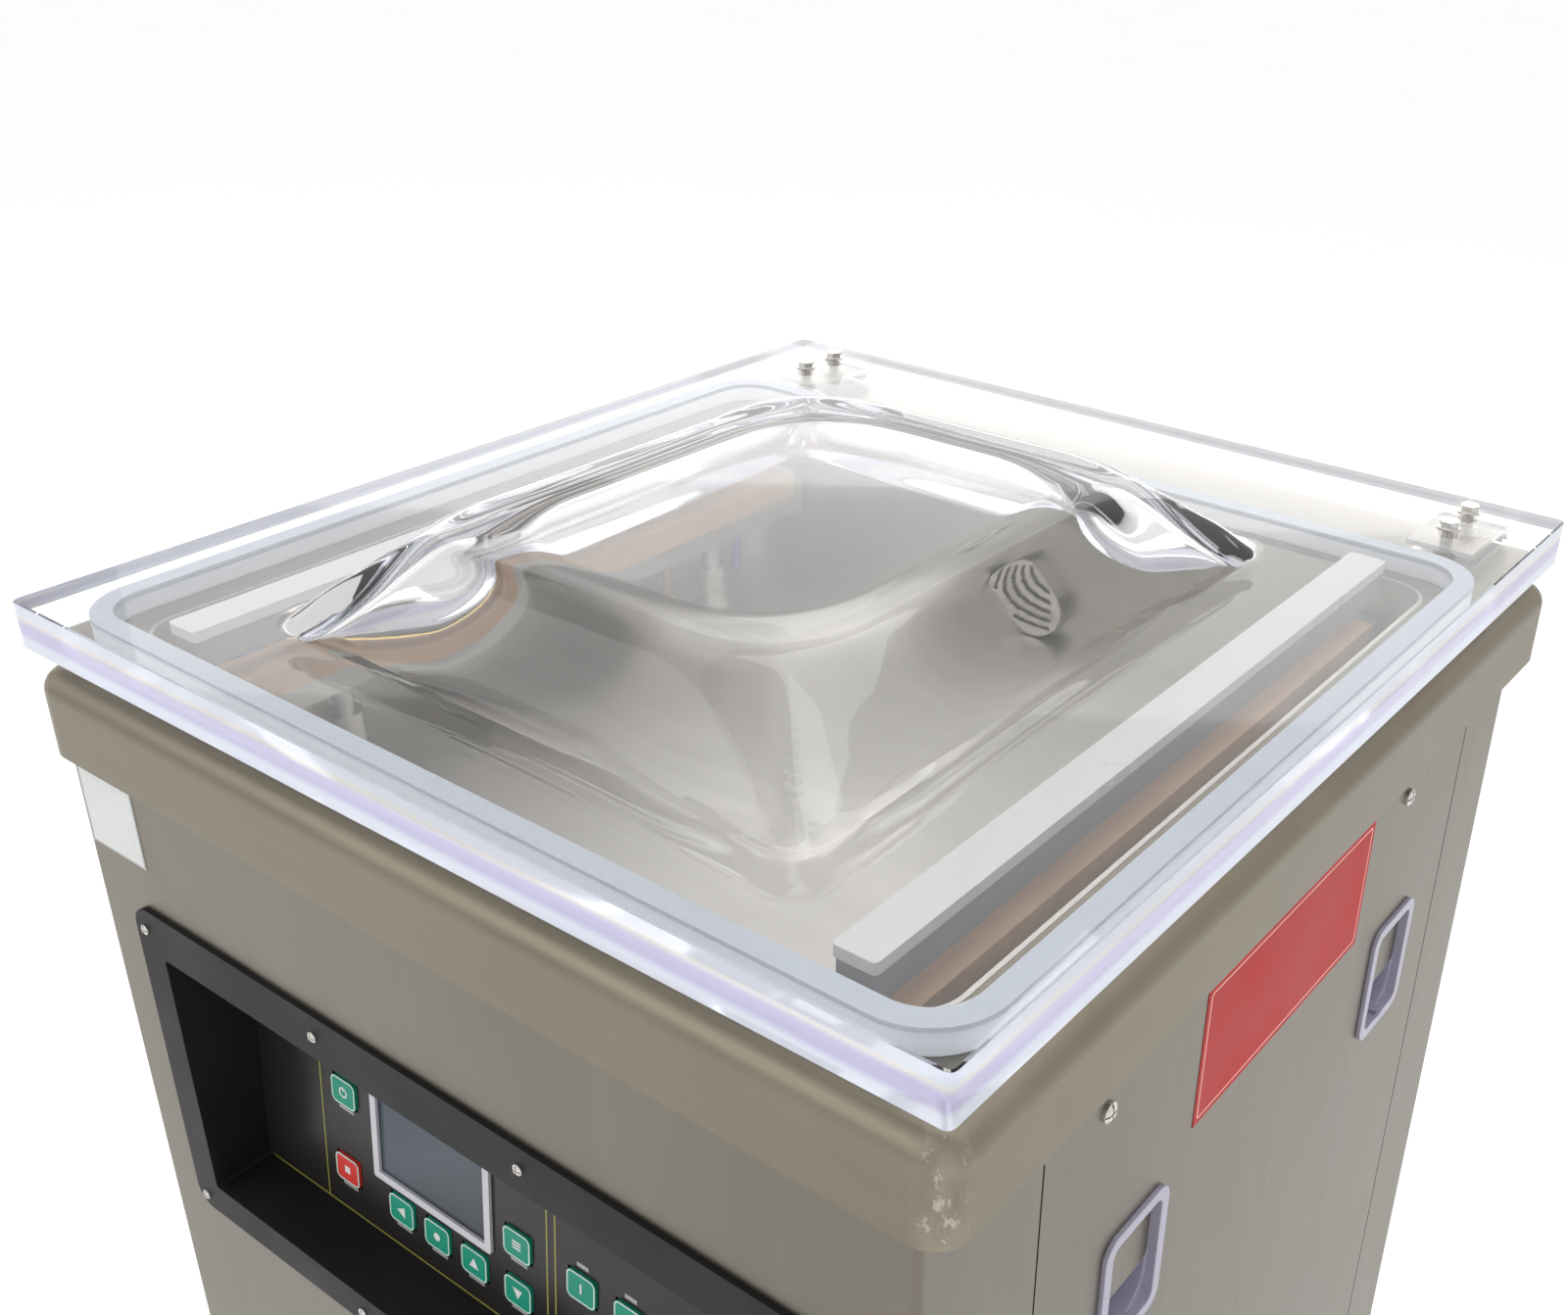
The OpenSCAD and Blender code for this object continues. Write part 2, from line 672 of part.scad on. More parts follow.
module vacuum_port() {
  color("#b0aeaa") difference() {
    union() {
      rod_y(port_x, back_wall_y - 9, port_z, port_r, 9);
      rod_y(port_x, back_wall_y - 0.1, port_z, 11, 12);
    }
    rod_y(port_x, back_wall_y - 7, port_z, 8.5, 30);
    for (i = [-2:2]) translate([port_x, back_wall_y - 5, port_z + i * 5.2]) cube([22, 12, 2.2], center = true);
  }
}

// ---------- casters ----------
module at_caster(sx, sy) {
  translate([sx * caster_x, sy * caster_y, 0]) children();
}

module caster_plates() {
  color("#b5b5b5") for (sx = [-1, 1]) for (sy = [-1, 1]) at_caster(sx, sy) {
    difference() {
      translate([0, 0, base_z - 3]) linear_extrude(3) rrect(76, 62, 5);
      for (bx = [-1, 1]) for (by = [-1, 1]) translate([bx * 29, by * 22, base_z - 4]) cylinder(r = 4.2, h = 5, $fn = 32);
    }
    translate([0, 0, base_z - 8]) cylinder(r = 19, h = 5.1, $fn = 48);
    translate([0, 0, fork_top - 7]) cylinder(r = 4.5, h = 9, $fn = 32);
  }
}

// Swivel fork with its axle; the wheel trails towards +Y
module caster_fork() {
  difference() {
    union() {
      translate([0, 0, fork_top - 4]) cylinder(r = 23, h = 4, $fn = 48);
      for (s = [-1, 1]) translate([s * fork_half - (s > 0 ? 0 : fork_t), 0, 0]) rotate([90, 0, 90])
        linear_extrude(fork_t) {
          polygon([[-16, fork_top - 0.2], [17, fork_top - 0.2], [trail + 10, wheel_r], [trail - 10, wheel_r]]);
          translate([trail, wheel_r]) circle(r = 10, $fn = 48);
        }
    }
    translate([0, 0, fork_top - 10]) cylinder(r = 4.56, h = 20, $fn = 32);
    rod_x(-30, trail, wheel_r, axle_r + 0.05, 60);
  }
  rod_x(-fork_half - fork_t - 1, trail, wheel_r, axle_r, 2 * (fork_half + fork_t + 1));
  for (s = [-1, 1]) rod_x(s > 0 ? fork_half + fork_t + 0.1 : -fork_half - fork_t - 4.1, trail, wheel_r, 6.5, 4);
}

module caster_wheel() {
  translate([0, trail, wheel_r]) rotate([0, 90, 0]) rotate_extrude($fn = 96) difference() {
    union() {
      translate([axle_r + 0.06, -14]) square([7, 28]);
      translate([axle_r + 0.06, -9]) square([24, 18]);
      translate([27, -wheel_w / 2]) square([wheel_r - 30, wheel_w]);
      translate([wheel_r - 4, -wheel_w / 2 + 3]) square([4, wheel_w - 6]);
      for (s = [-1, 1]) translate([wheel_r - 4, s * (wheel_w / 2 - 4)]) circle(r = 4, $fn = 32);
    }
  }
}

module fork_front_left() { color("#b5b5b5") at_caster(-1, -1) caster_fork(); }
module fork_front_right() { color("#b5b5b5") at_caster(1, -1) caster_fork(); }
module fork_rear_left() { color("#b5b5b5") at_caster(-1, 1) caster_fork(); }
module fork_rear_right() { color("#b5b5b5") at_caster(1, 1) caster_fork(); }
module wheel_front_left() { color("#3a3a3c") at_caster(-1, -1) caster_wheel(); }
module wheel_front_right() { color("#3a3a3c") at_caster(1, -1) caster_wheel(); }
module wheel_rear_left() { color("#3a3a3c") at_caster(-1, 1) caster_wheel(); }
module wheel_rear_right() { color("#3a3a3c") at_caster(1, 1) caster_wheel(); }

// ---------- inside the cabinet ----------
module vacuum_pump() {
  z0 = base_z + 3;
  color("#4a5a6a") union() {
    span([-120, -60, z0], [10, -40, z0 + 14]);
    span([-120, 60, z0], [10, 80, z0 + 14]);
    span([-110, -70, z0 + 14], [0, 90, z0 + 150]);
    for (i = [0:8]) span([-114, -66 + i * 18, z0 + 24], [4, -62 + i * 18, z0 + 140]);
    translate([-55, -20, z0 + 150]) cylinder(r = 26, h = 24, $fn = 48);
    translate([-55, 60, z0 + 149]) cylinder(r = 15, h = 31, $fn = 48);
    rod_y(-55, -78, z0 + 55, 14, 9);
  }
}

module pump_motor() {
  z0 = base_z + 3;
  color("#5b6f86") union() {
    rod_x(4.5, 10, z0 + 85, 60, 146);
    rod_x(150.5, 10, z0 + 85, 52, 28);
    for (a = [0:20:340]) translate([4.5, 10, z0 + 85]) rotate([a, 0, 0])
      translate([10, -1.5, 58]) cube([130, 3, 8]);
    span([30, -46, z0], [46, 66, z0 + 30]);
    span([110, -46, z0], [126, 66, z0 + 30]);
    span([50, -18, z0 + 142], [120, 38, z0 + 168]);
  }
}

module transformer() {
  z0 = base_z + 3;
  color("#8a5a3a") union() {
    span([70, 110, z0], [180, 210, z0 + 6]);
    span([80, 130, z0 + 6], [170, 190, z0 + 90]);
    translate([0, 0, z0 + 16]) span([92, 118, 0], [158, 202, 64]);
  }
}

module solenoid_valves() {
  color("#6f7378") for (i = [0:2]) translate([-150 + i * 60, 150, 640]) {
    span([-18, -18, 0], [18, 18, 26]);
    translate([0, 0, 25.9]) cylinder(r = 13, h = 42, $fn = 48);
    rod_x(-26, 0, 13, 6, 52);
    span([-5, 18, 4], [5, rear_face - 1.6 - 150, 12]);
  }
}

module vacuum_hose() {
  pump_top = base_z + 3 + 180;
  top_z = port_z - hose_big_bend;
  step_x = -55;
  color("#4c4f52") union() {
    translate([port_x, hose_big_y - hose_big_bend, top_z]) bend(hose_big_r, hose_big_bend);
    translate([port_x, hose_big_y, 420]) cylinder(r = hose_big_r, h = top_z - 420, $fn = 48);
    translate([port_x, hose_big_y, 420]) sphere(r = hose_big_r, $fn = 48);
    rod_x(step_x, hose_big_y, 420, hose_big_r, port_x - step_x);
    translate([step_x, hose_big_y, 420]) sphere(r = hose_big_r, $fn = 48);
    rod_y(step_x, 60, 420, hose_big_r, hose_big_y - 60);
    translate([step_x, 60, 420]) sphere(r = hose_big_r, $fn = 48);
    translate([step_x, 60, pump_top]) cylinder(r = hose_big_r, h = 420 - pump_top, $fn = 48);
  }
}

module gas_inlet() {
  color("#c2a05a") difference() {
    union() {
      rod_y(150, rear_face - 12, inlet_z, 5, 12.1);
      rod_y(150, rear_face, inlet_z, 9, 4);
      rod_y(150, rear_face + 3.9, inlet_z, 4, 18);
    }
    rod_y(150, rear_face - 13, inlet_z, 2, 40);
  }
}

module power_inlet() {
  color("#3b3b3d") difference() {
    union() {
      rod_y(-150, rear_face - 10, inlet_z, 8, 10.1);
      rod_y(-150, rear_face, inlet_z, 13, 5);
      rod_y(-150, rear_face + 4.9, inlet_z, 10, 12);
    }
    rod_y(-150, rear_face - 11, inlet_z, 4.5, 40);
  }
}

base_tray();
front_shell();
side_panel_left();
side_panel_right();
rear_frame();
rear_panel();
deck_pan();
chamber_tub();
flush_handles();
panel_screws();
side_label();
front_sticker();
bezel();
bezel_screws();
control_plate();
lcd_frame();
lcd_glass();
control_board();
gauge_case();
gauge_needle();
key_power();
key_stop();
key_left();
key_centre();
key_right();
key_set();
key_down();
key_p1();
key_p2();
lid();
gasket();
strip_backings();
pressure_strips();
lid_leaves();
lid_bolts();
hinge_brackets();
seal_bar_left();
seal_bar_right();
seal_tape_left();
seal_tape_right();
lift_cylinders();
gas_nozzles();
blue_hoses();
caster_plates();
fork_front_left();
fork_front_right();
fork_rear_left();
fork_rear_right();
wheel_front_left();
wheel_front_right();
wheel_rear_left();
wheel_rear_right();
vacuum_pump();
pump_motor();
transformer();
solenoid_valves();
vacuum_hose();
vacuum_port();
gas_inlet();
power_inlet();
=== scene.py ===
import json
import math

import bmesh
import bpy
from mathutils import Matrix, Vector


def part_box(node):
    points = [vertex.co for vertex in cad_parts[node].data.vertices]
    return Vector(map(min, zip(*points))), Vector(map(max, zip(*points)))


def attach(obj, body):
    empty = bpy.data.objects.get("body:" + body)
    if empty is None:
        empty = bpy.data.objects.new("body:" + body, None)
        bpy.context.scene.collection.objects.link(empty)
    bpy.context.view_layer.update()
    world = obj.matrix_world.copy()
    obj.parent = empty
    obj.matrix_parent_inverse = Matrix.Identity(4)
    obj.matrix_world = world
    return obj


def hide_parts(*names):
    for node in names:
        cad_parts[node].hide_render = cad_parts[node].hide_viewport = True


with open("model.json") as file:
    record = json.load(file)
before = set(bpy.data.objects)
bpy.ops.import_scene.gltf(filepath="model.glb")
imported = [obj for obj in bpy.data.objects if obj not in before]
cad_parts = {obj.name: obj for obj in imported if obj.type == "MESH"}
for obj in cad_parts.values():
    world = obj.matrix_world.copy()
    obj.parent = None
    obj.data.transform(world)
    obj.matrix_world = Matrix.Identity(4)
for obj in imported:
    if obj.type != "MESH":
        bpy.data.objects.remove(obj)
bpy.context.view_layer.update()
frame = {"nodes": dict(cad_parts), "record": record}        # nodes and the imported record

# Floor-standing chamber vacuum sealer: stainless cabinet, domed acrylic lid, recessed control panel.
# Every length is in metres. Places come from the frame's own boxes.

MM = 0.001
scene = bpy.context.scene
NODES = frame["nodes"]
SLOT_OF = {p["node"]: p["material_slot"] for p in frame["record"]["subparts"]}


def centre(node):
    """Middle of a CAD node's box."""
    lo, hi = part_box(node)
    return (Vector(lo) + Vector(hi)) / 2


# ---------- driving places, read from the frame ----------
DECK_LO, DECK_HI = (Vector(p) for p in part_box("deck_pan"))
LID_LO, LID_HI = (Vector(p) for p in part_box("lid"))
PLATE_LO, PLATE_HI = (Vector(p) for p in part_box("control_plate"))
DECK_Z = DECK_HI.z

LID_T = 22 * MM
LID_TOP = LID_LO.z + LID_T
DOME_Y = -35 * MM
# Rounded rectangles of the dome and of the hollow under it: width, depth, corner radius
DOME_BASE = (292 * MM, 346 * MM, 20 * MM)
DOME_PLATEAU = (206 * MM, 260 * MM, 50 * MM)
HOLLOW_BASE = (276 * MM, 330 * MM, 13 * MM)
HOLLOW_PLATEAU = (164 * MM, 220 * MM, 56 * MM)
DOME_WALL = 6 * MM

# The control plate leans back; PLATE carries its own plane (x across, z up the plate) into the frame
PANEL_TILT = math.radians(5)
PLATE_T = 3 * MM
PLATE_FOOT = 0.5 * MM
PLATE = Matrix.Translation((
    0,
    PLATE_LO.y - PLATE_FOOT * math.sin(PANEL_TILT),
    PLATE_LO.z + PLATE_T * math.sin(PANEL_TILT) - PLATE_FOOT * math.cos(PANEL_TILT),
)) @ Matrix.Rotation(-PANEL_TILT, 4, "X")


# ---------- materials ----------
class Finish:
    """A material being built: a Principled shader, and noise read in the object's own space."""

    def __init__(self, name, colour, metallic=0.0, rough=0.5, **sockets):
        self.mat = bpy.data.materials.new(name)
        self.mat.use_nodes = True
        self.tree = self.mat.node_tree
        self.bsdf = self.tree.nodes["Principled BSDF"]
        self.coord = self.node("ShaderNodeTexCoord").outputs["Object"]
        self.colour = colour
        self.set(**{"Base Color": (*colour, 1), "Metallic": metallic, "Roughness": rough})
        self.set(**sockets)

    def set(self, **sockets):
        """Sets shader sockets by name, with _ for each space."""
        for name, value in sockets.items():
            self.bsdf.inputs[name.replace("_", " ")].default_value = value

    def node(self, kind, **props):
        made = self.tree.nodes.new(kind)
        for name, value in props.items():
            setattr(made, name, value)
        return made

    def link(self, out, into):
        self.tree.links.new(out, into)

    def noise(self, scale, detail=3.0, rough=0.55, distortion=0.0):
        """Noise from 0 to 1 with its own frequency along each axis, in cycles per metre."""
        mapping = self.node("ShaderNodeMapping")
        mapping.inputs["Scale"].default_value = scale
        self.link(self.coord, mapping.inputs["Vector"])
        tex = self.node("ShaderNodeTexNoise")
        tex.inputs["Scale"].default_value = 1.0
        tex.inputs["Detail"].default_value = detail
        tex.inputs["Roughness"].default_value = rough
        tex.inputs["Distortion"].default_value = distortion
        self.link(mapping.outputs["Vector"], tex.inputs["Vector"])
        return tex.outputs["Fac"]

    def math(self, op, a, b=None):
        made = self.node("ShaderNodeMath", operation=op)
        for socket, value in zip(made.inputs, (a, b)):
            if value is None:
                continue
            if isinstance(value, (int, float)):
                socket.default_value = value
            else:
                self.link(value, socket)
        return made.outputs[0]

    def axis(self, name):
        """One coordinate of the surface point in the object's own space."""
        split = self.node("ShaderNodeSeparateXYZ")
        self.link(self.coord, split.inputs[0])
        return split.outputs[name.upper()]

    def spread(self, fac, lo, hi, start=0.0, end=1.0):
        made = self.node("ShaderNodeMapRange")
        for name, value in (("From Min", start), ("From Max", end), ("To Min", lo), ("To Max", hi)):
            made.inputs[name].default_value = value
        self.link(fac, made.inputs["Value"])
        return made.outputs["Result"]

    def ramp(self, fac, *stops):
        """Colour band: each stop is a position and a colour."""
        made = self.node("ShaderNodeValToRGB")
        band = made.color_ramp.elements
        while len(band) < len(stops):
            band.new(0.5)
        for element, (place, colour) in zip(band, stops):
            element.position = place
            element.color = (*colour, 1)
        self.link(fac, made.inputs["Fac"])
        return made.outputs["Color"]

    def shade(self, fac, dark=0.85, light=1.12):
        """Base colour between a darker and a lighter tone of itself."""
        low = tuple(c * dark for c in self.colour)
        high = tuple(min(1, c * light) for c in self.colour)
        self.link(self.ramp(fac, (0.25, low), (0.75, high)), self.bsdf.inputs["Base Color"])
        return self

    def paint(self, colour):
        self.link(colour, self.bsdf.inputs["Base Color"])
        return self

    def gloss(self, fac, lo, hi):
        """Roughness between lo and hi."""
        self.link(self.spread(fac, lo, hi, 0.3, 0.7), self.bsdf.inputs["Roughness"])
        return self

    def bump(self, height, strength=0.2, distance=0.3 * MM, edge=0.0):
        made = self.node("ShaderNodeBump")
        made.inputs["Strength"].default_value = strength
        made.inputs["Distance"].default_value = distance
        self.link(height, made.inputs["Height"])
        if edge:
            soft = self.node("ShaderNodeBevel", samples=4)
            soft.inputs["Radius"].default_value = edge
            self.link(soft.outputs["Normal"], made.inputs["Normal"])
        self.link(made.outputs["Normal"], self.bsdf.inputs["Normal"])
        return self


def brushed(name, colour, along, rough=0.36, streaks=0.3, edge=0.0, dark=0.86, light=1.13, bands=0.35):
    """Brushed metal: fine streaks and broad bands along one axis, over soft clouds."""
    f = Finish(name, colour, metallic=1.0, rough=rough)
    fine = f.noise([14 if a == along else 1500 for a in "xyz"], detail=3)
    broad = f.noise([3 if a == along else 60 for a in "xyz"], detail=4)
    cloud = f.noise((7, 7, 7), detail=3, distortion=0.6)
    tone = f.math("ADD", f.math("MULTIPLY", fine, streaks), f.math("MULTIPLY", broad, bands))
    tone = f.math("ADD", tone, f.math("MULTIPLY", cloud, 1 - bands - streaks))
    f.shade(tone, dark, light)
    wear = f.math("ADD", f.math("MULTIPLY", fine, 0.5), f.math("MULTIPLY", cloud, 0.5))
    f.gloss(wear, rough - 0.06, rough + 0.08)
    f.bump(fine, 0.12, 0.05 * MM, edge)
    return f


def steel(*args, **options):
    return brushed(*args, **options).mat


# Sockets of a Mix node in colour mode, where names alone are ambiguous
MIX_A, MIX_B, MIX_OUT = 6, 7, 2


def weld_worn(f):
    """Adds ground-back weld marks and small chips along the deck's upright corners."""
    halves = (("x", (DECK_HI.x - DECK_LO.x) / 2), ("y", (DECK_HI.y - DECK_LO.y) / 2))
    set_in = 4 * MM
    from_edge = [f.math("SUBTRACT", half - set_in, f.math("ABSOLUTE", f.axis(a))) for a, half in halves]
    reach = f.math("MAXIMUM", *from_edge)
    near = f.spread(reach, 1, 0, 1 * MM, 11 * MM)
    chips = f.spread(f.noise((240, 240, 160), detail=5, rough=0.7), 0, 1, 0.56, 0.60)
    scuff = f.spread(f.noise((60, 60, 25), detail=4), 0, 1, 0.45, 0.62)
    damage = f.math("ADD", f.math("MULTIPLY", chips, 0.75), f.math("MULTIPLY", scuff, 0.35))
    mark = f.math("MULTIPLY", near, damage)
    worn = f.node("ShaderNodeMix", data_type="RGBA")
    old = f.bsdf.inputs["Base Color"].links[0].from_socket
    f.link(mark, worn.inputs["Factor"])
    f.link(old, worn.inputs[MIX_A])
    worn.inputs[MIX_B].default_value = (0.46, 0.43, 0.36, 1)
    f.link(worn.outputs[MIX_OUT], f.bsdf.inputs["Base Color"])
    return f.mat


def plastic(name, colour, rough=0.4, grain=900, depth=0.1, edge=0.0, dark=0.9, light=1.1, **sockets):
    """Moulded plastic or paint with a fine grain and slow changes of tone."""
    f = Finish(name, colour, rough=rough, **sockets)
    speck = f.noise((grain,) * 3, detail=2)
    cloud = f.noise((18, 18, 18), detail=3)
    f.shade(f.math("ADD", f.math("MULTIPLY", speck, 0.4), f.math("MULTIPLY", cloud, 0.6)), dark, light)
    f.gloss(cloud, max(0.02, rough - 0.05), min(1, rough + 0.07))
    f.bump(speck, depth, 0.15 * MM, edge)
    return f.mat


ACRYLIC_IOR = 1.49


def clear_acrylic():
    """Clear sheet with faint handling haze and the slight waves of a blown form."""
    f = Finish("clear_acrylic", (0.955, 0.958, 0.965), rough=0.02, Transmission_Weight=1.0, IOR=ACRYLIC_IOR)
    f.gloss(f.noise((25, 25, 25), detail=4), 0.01, 0.045)
    f.bump(f.noise((30, 30, 30), detail=1), 0.02, 0.4 * MM)
    return f.mat


def acrylic_edge():
    """Sawn and polished edge with painted reflections: blue-white at both arrises, lavender between them."""
    f = Finish("acrylic_edge", (0.82, 0.82, 0.93), rough=0.16, Transmission_Weight=0.35, IOR=ACRYLIC_IOR)
    height = f.math("ADD", f.axis("z"), f.math("MULTIPLY", f.noise((6, 6, 60), detail=2), 1.6 * MM))
    across = f.spread(height, 0, 1, LID_LO.z + 0.8 * MM, LID_TOP + 0.8 * MM)
    # These bands are painted reflections of the bright surroundings and the gasket, as seen in the polished
    # edge.
    pale, lilac, cream = (0.80, 0.84, 0.95), (0.60, 0.56, 0.80), (0.86, 0.83, 0.78)
    bands = (0.0, pale), (0.22, pale), (0.36, lilac), (0.58, lilac), (0.70, cream), (0.78, pale), (1.0, pale)
    f.paint(f.ramp(across, *bands))
    f.bump(f.noise((12, 12, 700), detail=2), 0.08, 0.1 * MM)
    return f.mat


def display():
    """Switched-off display: grey-blue, a little darker towards its upper left, where the bezel's shadow is
    painted on.
    """
    f = Finish("display_glass", (0.12, 0.16, 0.21), rough=0.3, Specular_IOR_Level=0.25)
    lo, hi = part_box("lcd_glass")
    # The ramp below paints the bezel's shadow: darkest at the upper left, lightest in the middle, a little
    # darker again at the lower right.
    rightward = f.spread(f.axis("x"), 0, 0.5, lo[0], hi[0])
    downward = f.spread(f.axis("z"), 0.5, 0, lo[2], hi[2])
    shadow_slope = f.math("ADD", rightward, downward)
    blend = f.math("ADD", shadow_slope, f.math("MULTIPLY", f.noise((60, 60, 60), detail=2), 0.12))
    bezel_shadow_tone, middle_tone, lower_right = (0.032, 0.048, 0.068), (0.062, 0.080, 0.100), (0.044, 0.050, 0.058)
    f.paint(f.ramp(blend, (0.05, bezel_shadow_tone), (0.55, middle_tone), (1.0, lower_right)))
    f.bump(f.noise((2500, 2500, 2500), detail=1), 0.03, 0.05 * MM)
    return f.mat


def woven_tape():
    """Tan fluoropolymer on a woven glass cloth, its tan lightened by a painted reflection of the lid's white
    haze.
    """
    f = Finish("woven_tape", (0.74, 0.50, 0.34), rough=0.42)
    threads = 5200  # radians of weave per metre
    warp = f.math("SINE", f.math("MULTIPLY", f.axis("x"), threads))
    weft = f.math("SINE", f.math("MULTIPLY", f.axis("y"), threads))
    weave = f.math("MULTIPLY", warp, weft)
    scorch = f.noise((40, 14, 40), detail=4)
    f.shade(f.math("ADD", f.math("MULTIPLY", weave, 0.08), scorch), 0.8, 1.15)
    f.bump(weave, 0.25, 0.1 * MM)
    return f.mat


def silicone(name, colour, rough=0.45, through=0.25):
    """Dusty silicone that lets a little light into itself."""
    f = Finish(name, colour, rough=rough, Subsurface_Weight=through, Subsurface_Scale=4 * MM,
               Subsurface_Radius=(1.0, 1.0, 1.0))
    dust = f.noise((220, 220, 220), detail=4)
    cloud = f.noise((9, 9, 9))
    f.shade(f.math("ADD", f.math("MULTIPLY", dust, 0.4), f.math("MULTIPLY", cloud, 0.6)), 0.92, 1.05)
    f.bump(dust, 0.06, 0.1 * MM)
    return f.mat


def blue_tubing():
    """Glossy blue gas hose."""
    f = Finish("blue_tubing", (0.04, 0.15, 0.70), rough=0.18, Transmission_Weight=0.1, Coat_Weight=0.3)
    f.shade(f.noise((80, 80, 80), detail=3), 0.8, 1.25)
    f.bump(f.noise((300, 300, 300)), 0.04, 0.1 * MM)
    return f.mat


MATS = {
    "stainless_panel": steel("brushed_panel", (0.19, 0.172, 0.143), "z", 0.38, 0.14, dark=0.76,
                             light=1.18, bands=0.16),
    "stainless_deck": weld_worn(brushed("brushed_deck", (0.215, 0.19, 0.148), "x", 0.40, 0.14, dark=0.8,
                                        light=1.16, bands=0.2)),
    "stainless_chamber": steel("satin_chamber", (0.56, 0.54, 0.50), "x", 0.40, 0.2),
    "acrylic": clear_acrylic(),
    "silicone_seal": silicone("seal_silicone", (0.80, 0.86, 0.95)),
    "white_plastic": plastic("white_extrusion", (0.98, 0.985, 0.975), 0.3, 600, 0.05, dark=0.98,
                             light=1.01),
    "silicone_grey": silicone("grey_silicone", (0.42, 0.42, 0.46), 0.5, 0.1),
    "steel_hardware": steel("turned_steel", (0.62, 0.60, 0.57), "y", 0.24, 0.15, edge=0.3 * MM),
    "aluminium_bar": steel("mill_aluminium", (0.60, 0.60, 0.59), "y", 0.38, 0.35),
    "ptfe_tape": woven_tape(),
    "brass": steel("plain_brass", (0.50, 0.38, 0.17), "y", 0.30, 0.2, dark=0.75),
    "blue_tube": blue_tubing(),
    "black_bezel": plastic("grained_black", (0.009, 0.009, 0.010), 0.52, 1400, 0.3, 0.6 * MM, 0.8, 1.3,
                           Specular_IOR_Level=0.2),
    "black_plate": plastic("printed_film", (0.015, 0.014, 0.013), 0.34, 2200, 0.08, dark=0.88,
                           light=1.15, Specular_IOR_Level=0.28),
    "lcd_rim": plastic("silver_print", (0.50, 0.50, 0.54), 0.35, 1500, 0.08, 0.3 * MM),
    "lcd_screen": display(),
    "key_green": plastic("key_green", (0.008, 0.235, 0.155), 0.4, 1800, 0.08, 0.4 * MM, 0.9, 1.15,
                         Specular_IOR_Level=0.22),
    "key_red": plastic("key_red", (0.55, 0.03, 0.025), 0.36, 1800, 0.08, 0.4 * MM, 0.9, 1.15,
                       Specular_IOR_Level=0.3),
    "circuit_board": plastic("solder_mask", (0.02, 0.13, 0.05), 0.35, 500, 0.1),
    "gauge_metal": steel("polished_ring", (0.62, 0.63, 0.64), "x", 0.14, 0.15, edge=0.5 * MM),
    "needle_red": plastic("needle_enamel", (0.55, 0.03, 0.02), 0.3, 1500, 0.05),
    "label_red": plastic("red_film", (0.40, 0.016, 0.014), 0.45, 700, 0.06, dark=0.88, light=1.14,
                         Specular_IOR_Level=0.12),
    "sticker_pale": plastic("blank_film", (0.56, 0.58, 0.57), 0.4, 700, 0.05),
    "handle_lavender": plastic("handle_paint", (0.36, 0.35, 0.44), 0.34, 900, 0.1, 0.8 * MM, 0.92, 1.1,
                               Metallic=0.3),
    "zinc": steel("zinc_plate", (0.52, 0.52, 0.50), "x", 0.34, 0.2, edge=0.4 * MM, dark=0.75),
    "caster_tyre": plastic("hard_rubber", (0.032, 0.032, 0.034), 0.6, 700, 0.3, dark=0.7, light=1.5),
    "pump_paint": plastic("pump_enamel", (0.09, 0.13, 0.18), 0.45, 400, 0.4),
    "motor_paint": plastic("motor_enamel", (0.11, 0.16, 0.24), 0.35, 500, 0.25),
    "transformer_core": plastic("varnished_core", (0.20, 0.11, 0.06), 0.4, 350, 0.3),
    "valve_body": steel("cast_valve", (0.36, 0.37, 0.39), "z", 0.45, 0.15),
    "hose_dark": plastic("reinforced_rubber", (0.05, 0.052, 0.056), 0.55, 600, 0.4),
    "gland_black": plastic("black_nylon", (0.028, 0.028, 0.03), 0.45, 900, 0.2, 0.4 * MM),
}
EDGE = acrylic_edge()
PALE_INK = plastic("pale_ink", (0.62, 0.64, 0.62), 0.4, 1500, 0.05)
GREY_INK = plastic("grey_ink", (0.30, 0.30, 0.29), 0.4, 1500, 0.05)
LINE_INK = plastic("olive_ink", (0.30, 0.29, 0.045), 0.4, 1500, 0.05)
BLACK_INK = plastic("black_ink", (0.02, 0.02, 0.02), 0.45, 1500, 0.05)
DIAL_WHITE = plastic("dial_card", (0.80, 0.80, 0.77), 0.5, 900, 0.05)
KEY_RIM = plastic("key_rim", (0.46, 0.62, 0.56), 0.35, 1500, 0.08)
RED_RULE = plastic("faded_rule", (0.80, 0.36, 0.34), 0.4, 900, 0.05)
HUB = plastic("hub_nylon", (0.42, 0.43, 0.44), 0.4, 700, 0.15)

for node_name, node_object in NODES.items():
    for material_slot in node_object.material_slots:
        material_slot.material = MATS[SLOT_OF[node_name]]


# ---------- mesh helpers ----------
def piece(name, bm, mats, body, angle=35, replaces=()):
    """Turns a bmesh into a shown piece that rides on a body."""
    bmesh.ops.remove_doubles(bm, verts=bm.verts, dist=1e-7)
    bmesh.ops.recalc_face_normals(bm, faces=bm.faces)
    mesh = bpy.data.meshes.new(name)
    bm.to_mesh(mesh)
    bm.free()
    for mat in mats if isinstance(mats, (list, tuple)) else [mats]:
        mesh.materials.append(mat)
    mesh.shade_smooth()
    mesh.set_sharp_from_angle(angle=math.radians(angle))
    made = bpy.data.objects.new(name, mesh)
    scene.collection.objects.link(made)
    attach(made, body)
    if replaces:
        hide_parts(*replaces)
    return made


def arc(cx, cy, r, start, end, steps=6):
    """Points on a circle from one angle to another, in degrees."""
    turn = [math.radians(start + (end - start) * i / steps) for i in range(steps + 1)]
    return [(cx + r * math.cos(t), cy + r * math.sin(t)) for t in turn]


